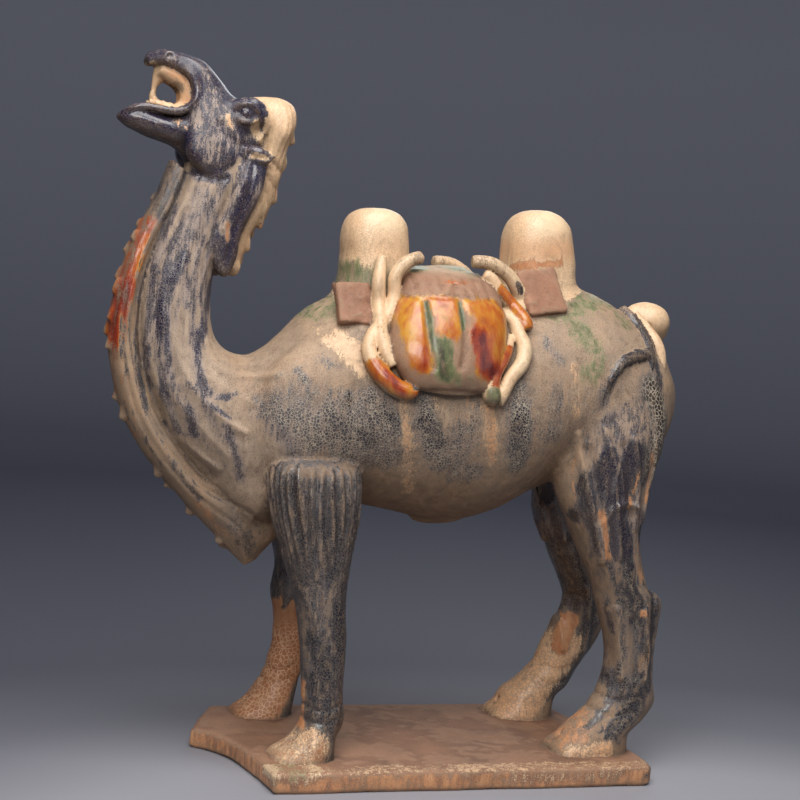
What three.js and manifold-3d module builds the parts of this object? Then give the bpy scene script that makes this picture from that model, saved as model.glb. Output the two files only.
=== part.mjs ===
/**
 * Sancai camel figure: a glazed earthenware Bactrian camel that lifts its head and calls, with a
 * pack between its humps. Figure and slab are fired together, so the whole is one solid.
 *
 * Millimetres, +Z up. The origin is on the slab's underside, below the middle of the belly. The
 * head points along -X and the near side is -Y.
 *
 * The tables below are sections of one working drawing, in millimetres on a figure of
 * drawnHeight. A row of a limb or body table is one section: the x and z of its front (or top)
 * edge, the x and z of its back (or lower) edge, its half width, and how far its middle stands
 * off the camel's own mid-plane.
 */
import * as THREE from 'three';
import { mergeVertices } from 'three/addons/utils/BufferGeometryUtils.js';
import Module from 'manifold-3d';

// Driving dimensions
const figureHeight = 505; // from the slab's top to the raised upper lip
const slabThickness = 15;
const slabBevel = 1.5;
const endMargin = 8; // slab left free past the toes and past the heels
const sideMargin = 11; // slab left free beside the feet
const prowReach = 31; // how far the slab's pointed end runs past its square part
const footSink = 5; // how deep the feet are luted into the slab

// The working drawing
const drawnHeight = 505;
const drawnGround = 15; // height of the slab's top in the drawing
const drawnMidPlane = 8; // the camel stands a little off the slab's middle, to the far side
const drawnStance = { toe: -142, heel: 150, outside: 81 };

const unit = figureHeight / drawnHeight;
const ground = slabThickness;

const wasm = await Module();
wasm.setup();

/** A point of the drawing, given by x, distance off the camel's mid-plane and height. */
function place(x, y, z) {
  return new THREE.Vector3(
    x * unit,
    (drawnMidPlane + y) * unit,
    ground + (z - drawnGround) * unit,
  );
}

/** Closed solid of any closed geometry, with its faces turned outwards. */
function solid(geometry) {
  const plain = geometry.clone();
  plain.deleteAttribute('normal');
  plain.deleteAttribute('uv');
  const merged = mergeVertices(plain, 1e-4);
  const points = merged.attributes.position;
  const corners = Array.from(merged.index.array);
  const a = new THREE.Vector3();
  const b = new THREE.Vector3();
  const c = new THREE.Vector3();
  let volume = 0;
  for (let i = 0; i < corners.length; i += 3) {
    a.fromBufferAttribute(points, corners[i]);
    b.fromBufferAttribute(points, corners[i + 1]);
    c.fromBufferAttribute(points, corners[i + 2]);
    volume += a.dot(b.cross(c));
  }
  if (volume < 0) corners.reverse();
  return new wasm.Manifold(new wasm.Mesh({
    numProp: 3,
    vertProperties: Float32Array.from(points.array),
    triVerts: Uint32Array.from(corners),
  }));
}

/** Joins rings of equal size into a closed skin, with a fan over each end. */
function skin(rings) {
  const sides = rings[0].length;
  const positions = [];
  const indices = [];
  const middle = new THREE.Vector3();
  for (const ring of rings) for (const p of ring) positions.push(p.x, p.y, p.z);
  for (let i = 0; i < rings.length - 1; i++) {
    for (let j = 0; j < sides; j++) {
      const here = i * sides + j;
      const next = i * sides + ((j + 1) % sides);
      indices.push(here, next, here + sides, next, next + sides, here + sides);
    }
  }
  for (const end of [0, rings.length - 1]) {
    middle.set(0, 0, 0);
    for (const p of rings[end]) middle.addScaledVector(p, 1 / sides);
    const hub = positions.length / 3;
    positions.push(middle.x, middle.y, middle.z);
    for (let j = 0; j < sides; j++) {
      const here = end * sides + j;
      const next = end * sides + ((j + 1) % sides);
      if (end === 0) indices.push(hub, next, here);
      else indices.push(hub, here, next);
    }
  }
  const geometry = new THREE.BufferGeometry();
  geometry.setAttribute('position', new THREE.Float32BufferAttribute(positions, 3));
  geometry.setIndex(indices);
  return geometry;
}

/** Catmull-Rom rows between the rows of a table, `steps` for each gap. */
function between(rows, steps) {
  const out = [];
  for (let i = 0; i < rows.length - 1; i++) {
    const [p0, p1, p2, p3] = [rows[Math.max(i - 1, 0)], rows[i], rows[i + 1],
      rows[Math.min(i + 2, rows.length - 1)]];
    for (let k = 0; k < steps; k++) {
      const t = k / steps;
      out.push(p1.map((v, n) => 0.5 * (2 * v + (p2[n] - p0[n]) * t
        + (2 * p0[n] - 5 * v + 4 * p2[n] - p3[n]) * t * t
        + (3 * v - p0[n] - 3 * p2[n] + p3[n]) * t * t * t)));
    }
  }
  out.push(rows[rows.length - 1]);
  return out;
}

/**
 * Solid through the sections of a table. `side` mirrors it about the mid-plane, `square` above 2
 * fills out the corners of its sections, and `carve` swells or sinks the surface by a share of
 * its radius at an angle (0 at the front edge) and a place along the length (0 to 1).
 */
function loft(rows, { sides = 18, steps = 2, side = 1, square = 2, carve = () => 0 } = {}) {
  const stations = between(rows, steps);
  const round = (v) => Math.sign(v) * Math.abs(v) ** (2 / square);
  const rings = stations.map(([ax, az, bx, bz, halfWidth, off = 0], i) => {
    const along = i / (stations.length - 1);
    return Array.from({ length: sides }, (_, j) => {
      const angle = (2 * Math.PI * j) / sides;
      const swell = 1 + carve(angle, along);
      const u = round(Math.cos(angle)) * swell;
      const v = round(Math.sin(angle)) * swell;
      return place(
        (ax + bx) / 2 + (u * (ax - bx)) / 2,
        side * (off + v * halfWidth),
        (az + bz) / 2 + (u * (az - bz)) / 2,
      );
    });
  });
  return solid(skin(rings));
}

/** Round strand through points of [x, y, z, radius], such as a rope's strand or a lock of hair. */
function strand(points, { sides = 7, steps = 2, side = 1 } = {}) {
  const rows = between(points, steps);
  const path = rows.map(([x, y, z]) => place(x, side * y, z));
  const across = new THREE.Vector3();
  const up = new THREE.Vector3();
  const along = new THREE.Vector3();
  const rings = path.map((p, i) => {
    along.subVectors(path[Math.min(i + 1, path.length - 1)], path[Math.max(i - 1, 0)]).normalize();
    if (i === 0) across.set(along.z, 0.3, -along.x);
    across.addScaledVector(along, -across.dot(along)).normalize();
    up.crossVectors(along, across);
    return Array.from({ length: sides }, (_, j) => {
      const angle = (2 * Math.PI * j) / sides;
      return p.clone()
        .addScaledVector(across, Math.cos(angle) * rows[i][3] * unit)
        .addScaledVector(up, Math.sin(angle) * rows[i][3] * unit);
    });
  });
  return solid(skin(rings));
}

/** Ellipsoid at a point of the drawing, with its three radii. */
function knob([x, y, z], [rx, ry, rz], side = 1, detail = 8) {
  const ball = new THREE.SphereGeometry(unit, detail + 2, detail);
  ball.scale(rx, ry, rz);
  const middle = place(x, side * y, z);
  ball.translate(middle.x, middle.y, middle.z);
  return solid(ball);
}

/** Value of a table's column at a given first-column x, by straight interpolation. */
function columnAt(rows, x, pick) {
  const found = rows.findIndex((row) => row[0] > x);
  const i = found < 0 ? rows.length - 1 : Math.max(found, 1);
  const share = THREE.MathUtils.clamp((x - rows[i - 1][0]) / (rows[i][0] - rows[i - 1][0]), 0, 1);
  return THREE.MathUtils.lerp(pick(rows[i - 1]), pick(rows[i]), share);
}

const trunk = [
  [-166, 290, -170, 198, 32],
  [-138, 321, -130, 182, 55],
  [-110, 347, -92, 196, 66],
  [-64, 360, -50, 192, 73],
  [-20, 364, -6, 186, 76],
  [22, 367, 36, 192, 76],
  [64, 371, 77, 214, 72],
  [104, 372, 118, 228, 67],
  [136, 360, 154, 232, 58],
  [164, 344, 178, 246, 46],
  [186, 314, 190, 270, 22],
];

/** Distance of the trunk's side from the mid-plane at x and height z. */
function flank(x, z) {
  const top = columnAt(trunk, x, (row) => row[1]);
  const bottom = columnAt(trunk, x, (row) => row[3]);
  const half = columnAt(trunk, x, (row) => row[4]);
  const share = THREE.MathUtils.clamp((z - (top + bottom) / 2) / ((top - bottom) / 2), -1, 1);
  return half * Math.sqrt(1 - share * share);
}

function body() {
  const belly = knob([-4, 0, 189], [30, 12, 8], 1, 5);
  return [loft(trunk, { sides: 18, steps: 1 }), belly];
}

function neck() {
  const rows = [
    [-160, 172, -118, 328, 44],
    [-192, 206, -143, 312, 42],
    [-217, 234, -165, 303, 38],
    [-235, 264, -184, 308, 33],
    [-246, 296, -193, 324, 29],
    [-249, 325, -195, 350, 27],
    [-247, 355, -193, 370, 26],
    [-239, 382, -187, 388, 25],
    [-229, 410, -181, 410, 25],
    [-221, 434, -173, 430, 25],
    [-218, 455, -160, 452, 22],
  ];
  return [loft(rows, { sides: 14, steps: 1 })];
}

// The mane that hangs as a roll down the throat to a point on the breast.
const beard = [
  [-232, 442, -215, 430, 11],
  [-242, 413, -223, 406, 13],
  [-255, 384, -236, 379, 14],
  [-263, 355, -244, 354, 15],
  [-268, 325, -247, 327, 16],
  [-266, 293, -244, 300, 17],
  [-254, 254, -232, 266, 18],
  [-234, 223, -214, 238, 19],
  [-207, 194, -188, 212, 20],
  [-181, 170, -140, 192, 20],
  [-167, 156, -128, 174, 14],
  [-154, 145, -145, 150, 3],
];

function throatMane() {
  const lockRoot = 5;
  const lockReach = 2.5;
  const lockDrop = 3;
  const lockRadius = 4.5;
  const lockStagger = 3;
  const locks = between(beard, 2).slice(1, -2).map(([ax, az, bx, bz], i) => {
    const length = Math.hypot(ax - bx, az - bz);
    const [nx, nz] = [(ax - bx) / length, (az - bz) / length];
    const off = lockStagger * (i % 2 ? 1 : -1);
    return strand([
      [ax - nx * lockRoot, off, az - nz * lockRoot, lockRadius],
      [ax + nx * lockReach, off, az + nz * lockReach - lockDrop, 1],
    ], { sides: 3, steps: 1 });
  });
  return [loft(beard, { sides: 8, steps: 1 }), ...locks];
}

function foreleg(side) {
  const near = [
    [-145, 240, -92, 242, 14, 34],
    [-150, 214, -84, 216, 25, 44],
    [-139, 168, -88, 170, 22, 50],
    [-128, 129, -90, 129, 19, 55],
    [-123, 100, -88, 100, 17, 58],
    [-120, 71, -89, 71, 16, 61],
    [-119, 47, -89, 47, 16, 63],
    [-122, 36, -92, 34, 18, 63],
    [-133, 25, -93, 25, 22, 63],
    [-142, 16, -93, 16, 24, 63],
    [-142, 15 - footSink, -93, 15 - footSink, 24, 63],
  ];
  const far = [
    [-138, 240, -88, 242, 14, 34],
    [-137, 208, -76, 210, 25, 44],
    [-122, 165, -66, 167, 22, 50],
    [-115, 138, -69, 139, 20, 54],
    [-118, 116, -72, 116, 19, 58],
    [-114, 91, -74, 91, 17, 62],
    [-113, 66, -78, 64, 16, 65],
    [-120, 44, -84, 43, 17, 67],
    [-133, 26, -88, 24, 21, 66],
    [-138, 16, -89, 15, 23, 66],
    [-138, 15 - footSink, -89, 15 - footSink, 23, 66],
  ];
  // Long hair hangs over the forearm like a fluted sleeve.
  const fluteDepth = 0.06;
  const nearSleeve = [
    [-143, 229, -94, 231, 18, 42],
    [-153, 222, -83, 224, 27, 44],
    [-152, 206, -82, 208, 29, 46],
    [-147, 186, -83, 188, 27, 48],
    [-140, 166, -87, 168, 24, 50],
    [-132, 146, -90, 147, 19, 52],
  ];
  const farSleeve = nearSleeve.map(([ax, az, bx, bz, half, off], i) => [
    ax + 10 + i * 1.5, az, bx + 10 + i * 1.5, bz, half, off + i * 0.3,
  ]);
  const flutes = (angle, along) => (Math.round((angle * 11) / Math.PI) % 2 ? -fluteDepth : 0)
    * Math.min(1, 4 * along);
  const rows = side < 0 ? near : far;
  const sleeve = side < 0 ? nearSleeve : farSleeve;
  return [
    loft(rows, { sides: 11, steps: 1, side }),
    loft(sleeve, { sides: 22, side, steps: 1, square: 2.3, carve: flutes }),
    ...toes(rows[rows.length - 2], side),
  ];
}

function hindLeg(side) {
  const near = [
    [98, 318, 166, 322, 20, 30],
    [80, 280, 170, 284, 34, 34],
    [76, 250, 168, 254, 35, 38],
    [81, 212, 156, 215, 30, 44],
    [96, 180, 150, 182, 25, 48],
    [112, 148, 158, 149, 20, 51],
    [117, 132, 172, 134, 19, 52],
    [123, 116, 172, 117, 18, 53],
    [129, 92, 169, 92, 17, 54],
    [126, 69, 169, 70, 17, 55],
    [118, 54, 172, 54, 17, 56],
    [110, 44, 164, 41, 19, 56],
    [95, 30, 151, 30, 23, 56],
    [89, 17, 150, 17, 25, 56],
    [89, 15 - footSink, 150, 15 - footSink, 25, 56],
  ];
  const far = [
    [98, 318, 166, 322, 20, 30],
    [84, 280, 172, 284, 34, 34],
    [88, 250, 168, 254, 34, 37],
    [99, 214, 158, 217, 30, 41],
    [107, 181, 160, 183, 25, 43],
    [118, 156, 163, 154, 21, 45],
    [129, 138, 168, 135, 19, 47],
    [137, 120, 177, 116, 17, 49],
    [136, 101, 178, 96, 16, 51],
    [125, 79, 170, 76, 17, 53],
    [118, 60, 158, 58, 18, 55],
    [104, 45, 149, 41, 20, 56],
    [91, 34, 140, 32, 23, 57],
    [85, 17, 137, 17, 25, 57],
    [85, 15 - footSink, 137, 15 - footSink, 25, 57],
  ];
  const rows = side < 0 ? near : far;
  return [
    loft(rows, { sides: 11, steps: 1, side }),
    ...toes(rows[rows.length - 2], side),
  ];
}

/** Two broad toes at the front of a foot whose lowest full section is `sole`. */
function toes([front, height, , , half, off], side) {
  return [-1, 1].map((toe) => knob(
    [front + half * 0.55, off + toe * half * 0.46, height + 1],
    [half * 0.7, half * 0.5, half * 0.5],
    side,
    4,
  ));
}

function humps() {
  const front = [
    [-118, 324, -16, 330, 46],
    [-99, 354, -36, 356, 32],
    [-97, 380, -41, 383, 28],
    [-98, 399, -43, 401, 26],
    [-95, 412, -48, 413, 23],
    [-88, 420, -56, 421, 16],
    [-78, 423, -66, 423.5, 6],
  ];
  const rear = [
    [18, 338, 134, 344, 46],
    [38, 364, 106, 373, 33],
    [38, 391, 98, 395, 28],
    [37, 408, 95, 411, 26],
    [40, 421, 89, 424, 23],
    [49, 430, 78, 432, 15],
    [59, 433.5, 68, 434, 5],
  ];
  return [front, rear].map((rows) => loft(rows, { sides: 12, steps: 1, square: 2.4 }));
}

function head() {
  const skull = [
    [-152, 476, -166, 430, 17],
    [-170, 491, -202, 432, 25],
    [-187, 492, -221, 442, 26],
    [-196, 500, -228, 459, 22],
    [-204, 508.5, -224, 482, 19],
    [-213, 515.5, -227, 497, 17],
    [-225, 518.5, -237, 504, 16],
    [-236, 520, -244, 507, 15],
    [-247, 519.5, -250, 508, 12],
    [-253, 516, -254, 510, 6],
  ];
  const jaw = [
    [-204, 470, -208, 438, 17],
    [-222, 475, -229, 450, 17],
    [-234, 473, -236, 453, 15],
    [-247, 475, -248, 456, 14],
    [-258, 477, -257, 459, 12],
    [-267, 474, -266, 462.5, 8],
    [-273, 469.5, -272.5, 467, 3],
  ];
  // The tongue curls up to meet the upper teeth, which leaves a round opening behind them.
  const tongue = [
    [-222, 0, 476, 7], [-236, 0, 477, 8], [-248, 0, 480, 7], [-248, 0, 487, 4],
    [-246, 0, 494, 5], [-245, 0, 502, 7], [-242, 0, 510, 8],
  ];
  const sides = [-1, 1].flatMap((side) => [
    loft([
      [-218, 471, -190, 474, 4, 18],
      [-225, 458, -184, 460, 9, 18],
      [-223, 444, -187, 444, 10, 18],
      [-214, 435, -194, 435, 8, 17],
      [-206, 431, -201, 431, 3, 16],
    ], { sides: 10, steps: 1, side, square: 2.6 }), // cheek plate
    knob([-182, 19, 479], [13, 8, 12], side, 6), // brow
    knob([-184, 26, 478], [5, 4, 5], side, 5), // eye
    strand([
      [-184, 20, 456, 5], [-174, 26, 454, 8], [-165, 28, 450, 7], [-158, 27, 446, 2],
    ], { sides: 6, steps: 1, side }), // ear
    knob([-240, 13, 514], [4, 4, 3], side, 5), // nostril rim
  ]);
  return [
    loft(skull, { sides: 14, steps: 1 }),
    loft(jaw, { sides: 10, steps: 1 }),
    strand(tongue, { sides: 6, steps: 1 }),
    ...sides,
  ];
}

function hair() {
  const crest = [
    [-174, 494, -188, 488, 11],
    [-156, 495, -176, 476, 18],
    [-144, 490, -168, 466, 20],
    [-139, 477, -166, 456, 20],
    [-142, 458, -168, 448, 19],
    [-146, 436, -174, 430, 17],
    [-155, 411, -182, 408, 15],
    [-166, 396, -189, 393, 13],
    [-173, 376, -190, 374, 10],
    [-180, 361, -188, 362, 4],
  ];
  // Locks end in points along the nape.
  const nape = between(crest, 2).slice(8, -1).map(([x, z], i) => strand([
    [x - 5, i % 2 ? 4 : -4, z + 3, 5],
    [x + 2, i % 2 ? 4 : -4, z - 4, 1],
  ], { sides: 3, steps: 1 }));
  const sideLock = [
    [-163, 452, -181, 450, 6, 21],
    [-165, 438, -186, 436, 8, 22],
    [-167, 425, -188, 421, 9, 21],
    [-171, 413, -191, 408, 9, 19],
    [-176, 401, -197, 397, 9, 17],
    [-180, 388, -201, 385, 9, 16],
    [-181, 375, -200, 373, 8, 15],
    [-184, 365, -195, 364, 6, 14],
    [-187, 360, -191, 360, 2, 14],
  ];
  return [
    loft(crest, { sides: 10, steps: 1 }),
    ...nape,
    ...[-1, 1].map((side) => loft(sideLock, { sides: 8, steps: 1, side, square: 2.4 })),
  ];
}

// The pack is one cloth over the back with a bulging bag on each side.
const bagRows = [
  [-46, 285, -6, 285, 5, 77],
  [-57, 289, 2, 290, 11, 75],
  [-68, 303, 8, 305, 18, 71],
  [-73, 318, 15, 320, 22, 66],
  [-71, 335, 19, 337, 24, 59],
  [-64, 352, 18, 354, 24, 49],
  [-58, 368, 13, 369, 22, 37],
  [-54, 377, 6, 378, 18, 24],
];

function pack() {
  const grooveDepth = 0.12;
  const grooveWidth = 0.16;
  const grooves = (angle, along) => {
    const outer = Math.sin(angle);
    const where = Math.cos(angle);
    if (outer < 0.4 || along < 0.15 || along > 0.8) return 0;
    return [-0.34, 0.3].some((at) => Math.abs(where - at) < grooveWidth) ? -grooveDepth : 0;
  };
  const saddle = [
    [-54, 350, -52, 346, 3],
    [-52, 376, -48, 334, 38],
    [-28, 381, -26, 334, 42],
    [4, 381, 2, 334, 38],
    [10, 352, 8, 348, 3],
  ];
  return [
    loft(saddle, { sides: 14, steps: 1, square: 2.6 }),
    ...[-1, 1].flatMap((side) => [
      loft(bagRows, { sides: 16, steps: 1, side, square: 2.3, carve: grooves }),
      knob([-24, 50, 366], [14, 8, 7], side, 6), // knot of the bag's mouth
    ]),
  ];
}

/** Two pairs of crossed rope ends hang over each bag, one pair before it and one behind it. */
function ropes() {
  const leastSide = 38; // the cloth's half width over the back
  const r = 5.2;
  const fat = 7;
  // Rows are x, z, lift over the hide or cloth, and radius.
  const strands = [
    [[-74, 384, -6, 4], [-78, 366, 3, r], [-77, 350, 4, r], [-78, 337, 5, r], [-79, 325, 5, r],
      [-77, 314, 4, r], [-72, 304, 3, 4]],
    [[-46, 386, 3, 5], [-58, 381, 5, r], [-66, 370, 5, r], [-66, 354, 5, r], [-73, 337, 2, r],
      [-84, 327, 3, r], [-89, 314, 4, 5.6], [-82, 299, 4, fat], [-70, 289, 5, fat],
      [-60, 287, 6, 6], [-56, 291, 7, 2.5]],
    [[-5, 386, 3, 5], [9, 385, 5, r], [22, 381, 4, r], [32, 373, 3, r], [39, 361, 2, r],
      [36, 347, 1, r], [23, 337, 4, r], [28, 325, 4, 5.6], [29, 314, 4, 5.6], [20, 300, 4, r],
      [12, 287, 4, r], [8, 278, 4, 2.5]],
    [[4, 377, 6, 4], [17, 371, 7, r], [24, 362, 7, 5.6], [33, 353, 6, 5.6], [38, 341, 5, r],
      [32, 330, 1, 4.5], [19, 322, 2, 4.5], [13, 308, 5, 5], [6, 297, 6, 5.6], [3, 286, 6, fat],
      [5, 280, 6, 3]],
  ];
  const settle = ([x, z, lift, radius]) => [x, Math.max(flank(x, z), leastSide) + lift, z, radius];
  // The far side, which is finished more plainly, has only the longer strand of each pair.
  return [-1, 1].flatMap((side) => strands.filter((_, i) => side < 0 || i === 1 || i === 2).map(
    (points) => strand(points.map(settle), { sides: 5, steps: 1, side }),
  ));
}

/** Square boards of the pack frame lean against each hump. */
function boards() {
  const thickness = 10;
  const lean = THREE.MathUtils.degToRad(26);
  const leastSide = 36;
  const nearBoards = [
    { x: -95, z: 347, width: 28, height: 33, tilt: 0.05 },
    { x: 54, z: 367, width: 34, height: 38, tilt: 0.2 },
  ];
  const farBoards = [
    { x: -74, z: 347, width: 28, height: 33, tilt: 0 },
    { x: 66, z: 364, width: 34, height: 36, tilt: 0.1 },
  ];
  return [[-1, nearBoards], [1, farBoards]].flatMap(([side, list]) => list.map((item) => {
    const { x, z, width, height, tilt } = item;
    const board = new THREE.BoxGeometry(width * unit, thickness * unit, height * unit);
    board.rotateY(-tilt);
    board.rotateX(side * lean);
    const middle = place(x, side * (Math.max(flank(x, z - height / 4), leastSide) + 1), z);
    board.translate(middle.x, middle.y, middle.z);
    return solid(board);
  }));
}

/** Short tail curled into a knob, with a lock and a flick of hair laid on the near buttock. */
function tail() {
  const near = -1;
  return [
    knob([165, 0, 349], [24, 11, 20], 1, 7),
    strand([
      [138, 6, 360, 4], [144, 22, 350, 5], [151, 32, 337, 5], [157, 39, 325, 4.5],
      [159, 43, 314, 1.5],
    ], { side: near, steps: 1, sides: 5 }),
    strand([
      [152, 40, 322, 3], [140, 47, 323, 5], [128, 53, 318, 5], [118, 59, 308, 4.5],
      [115, 62, 296, 1.5],
    ], { side: near, steps: 1, sides: 5 }),
  ];
}

/** Slab with one pointed end: a hollow cut on the near side of the point, a straight one beyond. */
function slab() {
  const left = drawnStance.toe * unit - endMargin;
  const right = drawnStance.heel * unit + endMargin;
  const half = (drawnStance.outside + drawnMidPlane) * unit + sideMargin;
  const tip = left - prowReach;
  const tipSide = 0.28 * half;
  const endBulge = 8;
  const cornerCut = 4;
  const inset = slabBevel;
  const outline = new THREE.Shape();
  outline.moveTo(left + inset, -half + inset);
  outline.lineTo(right - endBulge - cornerCut - inset, -half + inset);
  outline.lineTo(right - endBulge - inset, -half + cornerCut + inset);
  outline.quadraticCurveTo(right + endBulge - inset, -0.2 * half, right - 1.5 * endBulge - inset,
    half - inset);
  outline.lineTo(left + inset, half - inset);
  outline.lineTo(tip + inset, tipSide);
  outline.quadraticCurveTo(left + inset, 0.05 * half, left + inset, -half + inset);
  const block = new THREE.ExtrudeGeometry(outline, {
    depth: slabThickness - 2 * slabBevel,
    bevelEnabled: true,
    bevelThickness: slabBevel,
    bevelSize: slabBevel,
    bevelSegments: 1,
    curveSegments: 6,
  });
  block.translate(0, 0, slabBevel);
  return [solid(block)];
}

const pieces = [
  ...slab(), ...body(), ...neck(), ...throatMane(), ...head(), ...hair(), ...humps(),
  ...foreleg(-1), ...foreleg(1), ...hindLeg(-1), ...hindLeg(1),
  ...pack(), ...ropes(), ...boards(), ...tail(),
];
const figure = pieces.reduce((whole, piece) => whole.add(piece));

const mesh = figure.getMesh();
const geometry = new THREE.BufferGeometry();
geometry.setAttribute('position', new THREE.Float32BufferAttribute(mesh.vertProperties, 3));
geometry.setIndex(Array.from(mesh.triVerts));
geometry.computeVertexNormals();

const glaze = new THREE.MeshStandardMaterial({ color: 0x8f7b66, roughness: 0.45, metalness: 0 });
const camel = new THREE.Mesh(geometry, glaze);
camel.name = 'camel_figure';

const part = new THREE.Group();
part.add(camel);

export default part;
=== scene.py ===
"""Sancai camel figure: the modelled clay and the glazes of the camel, its pack and its slab.

The figure is modelled as one block of clay: lumps are laid on it and blended in, hollows are cut
and lines are pressed, and its skin becomes one mesh. The glazes are then brushed on that mesh as
shares for each point, and one shader turns them into worn, crackled glaze over bare clay.

Sizes are millimetres on the working drawing. Sections and strokes are given by x and z on the
camel's side view, with the head towards -X and the near side at -Y. A row of a section table is
the x and z of the front (or top) edge, the x and z of the back (or lower) edge, the half width,
and how far the middle stands off the camel's own mid-plane.
"""

import logging
import math
from collections.abc import Callable, Iterable, Sequence
from dataclasses import dataclass
from enum import Enum, IntEnum

import bpy
import numpy as np
import openvdb
from mathutils import Matrix, Vector


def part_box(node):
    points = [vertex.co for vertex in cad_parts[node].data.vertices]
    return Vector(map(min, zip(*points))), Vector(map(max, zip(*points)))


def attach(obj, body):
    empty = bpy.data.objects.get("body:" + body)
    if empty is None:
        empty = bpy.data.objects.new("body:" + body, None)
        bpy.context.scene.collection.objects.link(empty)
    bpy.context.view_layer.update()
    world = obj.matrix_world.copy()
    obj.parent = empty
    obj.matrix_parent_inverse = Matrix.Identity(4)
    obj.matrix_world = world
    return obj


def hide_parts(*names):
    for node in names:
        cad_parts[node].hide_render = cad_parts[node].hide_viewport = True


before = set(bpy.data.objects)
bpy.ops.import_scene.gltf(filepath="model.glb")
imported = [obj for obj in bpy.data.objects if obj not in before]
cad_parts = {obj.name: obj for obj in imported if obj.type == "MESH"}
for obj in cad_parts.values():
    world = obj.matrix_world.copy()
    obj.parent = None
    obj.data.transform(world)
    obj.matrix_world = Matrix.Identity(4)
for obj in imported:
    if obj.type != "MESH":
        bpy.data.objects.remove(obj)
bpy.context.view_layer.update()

NODE = "camel_figure"
DRAWN_HEIGHT = 520.0  # of the whole figure on the drawing
MID_PLANE = 8.0  # the camel stands a little off the slab's middle, to the far side
GAP_STEPS = 6  # rings that each gap of a form's table becomes
LOG = logging.getLogger("camel")

Rows = Sequence[Sequence[float]]
Colour = tuple[float, float, float, float]


class Side(Enum):
    """Which side of the camel's mid-plane a form or stroke is on."""

    NEAR = -1
    FAR = 1


BOTH = (Side.NEAR, Side.FAR)


class Part(IntEnum):
    """What a lump of clay stands for, kept for each point of the skin."""

    SLAB = 1
    HIDE = 2
    MANE = 3
    HEAD = 4
    MOUTH = 5
    EYE = 6
    TUFT = 7
    LOBE = 8
    HUMP = 9
    CLOTH = 10
    BAG = 11
    ROPE = 12
    BOARD = 13
    TAIL = 14
    FORELEG = 15
    HIND_LEG = 16
    FOOT = 17


class Glaze(Enum):
    """The glazes, by the name of the attribute that holds each point's share."""

    COBALT = "cobalt"
    AMBER = "amber"
    CREAM = "cream"
    GREEN = "green"
    HONEY = "honey"
    RED_CLAY = "red_clay"
    SLIP = "slip"
    SOOT = "soot"


GROUNDS = (Glaze.RED_CLAY, Glaze.SLIP, Glaze.SOOT)  # tints of the bare clay, under the glazes


def smooth_rows(rows: Rows, steps: int) -> np.ndarray:
    """Puts Catmull-Rom rows between the rows of a table.

    Args:
        rows: the table.
        steps: how many rows each gap becomes.

    Returns:
        The longer table, which passes through every row.
    """
    table = np.array(rows, float)
    padded = np.vstack([table[:1], table, table[-1:]])
    t = np.linspace(0, 1, steps, endpoint=False)[:, None]
    spans = [
        0.5 * (2 * b + (c - a) * t + (2 * a - 5 * b + 4 * c - d) * t**2
               + (3 * b - a - 3 * c + d) * t**3)
        for a, b, c, d in zip(padded, padded[1:], padded[2:], padded[3:])
    ]
    return np.vstack([*spans, table[-1:]])


def away(path: Rows, x: np.ndarray, z: np.ndarray) -> np.ndarray:
    """Measures how far points of the side view are from a line drawn on it.

    Args:
        path: the line's corners, each x and z and any further values.
        x: the points' x.
        z: the points' z.

    Returns:
        The distances.
    """
    corners = np.array([row[:2] for row in path], float)
    best = np.full(x.shape, np.inf)
    for a, b in zip(corners, corners[1:]):
        dx, dz = b - a
        t = np.clip(((x - a[0]) * dx + (z - a[1]) * dz) / max(dx * dx + dz * dz, 1e-9), 0, 1)
        best = np.minimum(best, np.hypot(x - a[0] - t * dx, z - a[1] - t * dz))
    return best


@dataclass
class Form:
    """One lump of clay, or one hollow cut into it.

    Attributes:
        part: what it stands for.
        points: the corners of its closed skin.
        quads: its four-sided faces.
        tris: its three-sided faces.
        fillet: how softly it runs into what is there.
        cut: whether it is taken away.
    """

    part: Part
    points: np.ndarray
    quads: np.ndarray
    tris: np.ndarray
    fillet: float
    cut: bool


def skin(rings: np.ndarray, part: Part, fillet: float, cut: bool = False) -> Form:
    """Joins rings of points into a closed form with a fan over each end.

    Args:
        rings: the points, by ring and place on the ring.
        part: what the form stands for.
        fillet: how softly it joins.
        cut: whether it is taken away.

    Returns:
        The form.
    """
    stations, sides = rings.shape[:2]
    here = np.arange(stations * sides).reshape(stations, sides)
    after = np.roll(here, -1, axis=1)
    quads = np.stack([here[:-1], after[:-1], after[1:], here[1:]], axis=-1).reshape(-1, 4)
    fans = [
        np.stack([np.full(sides, stations * sides + end), ring, np.roll(ring, -1)], axis=-1)
        for end, ring in enumerate((here[0], here[-1]))
    ]
    points = np.vstack([rings.reshape(-1, 3), rings[[0, -1]].mean(axis=1)])
    return Form(part, points, quads, np.vstack(fans), fillet, cut)


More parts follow.
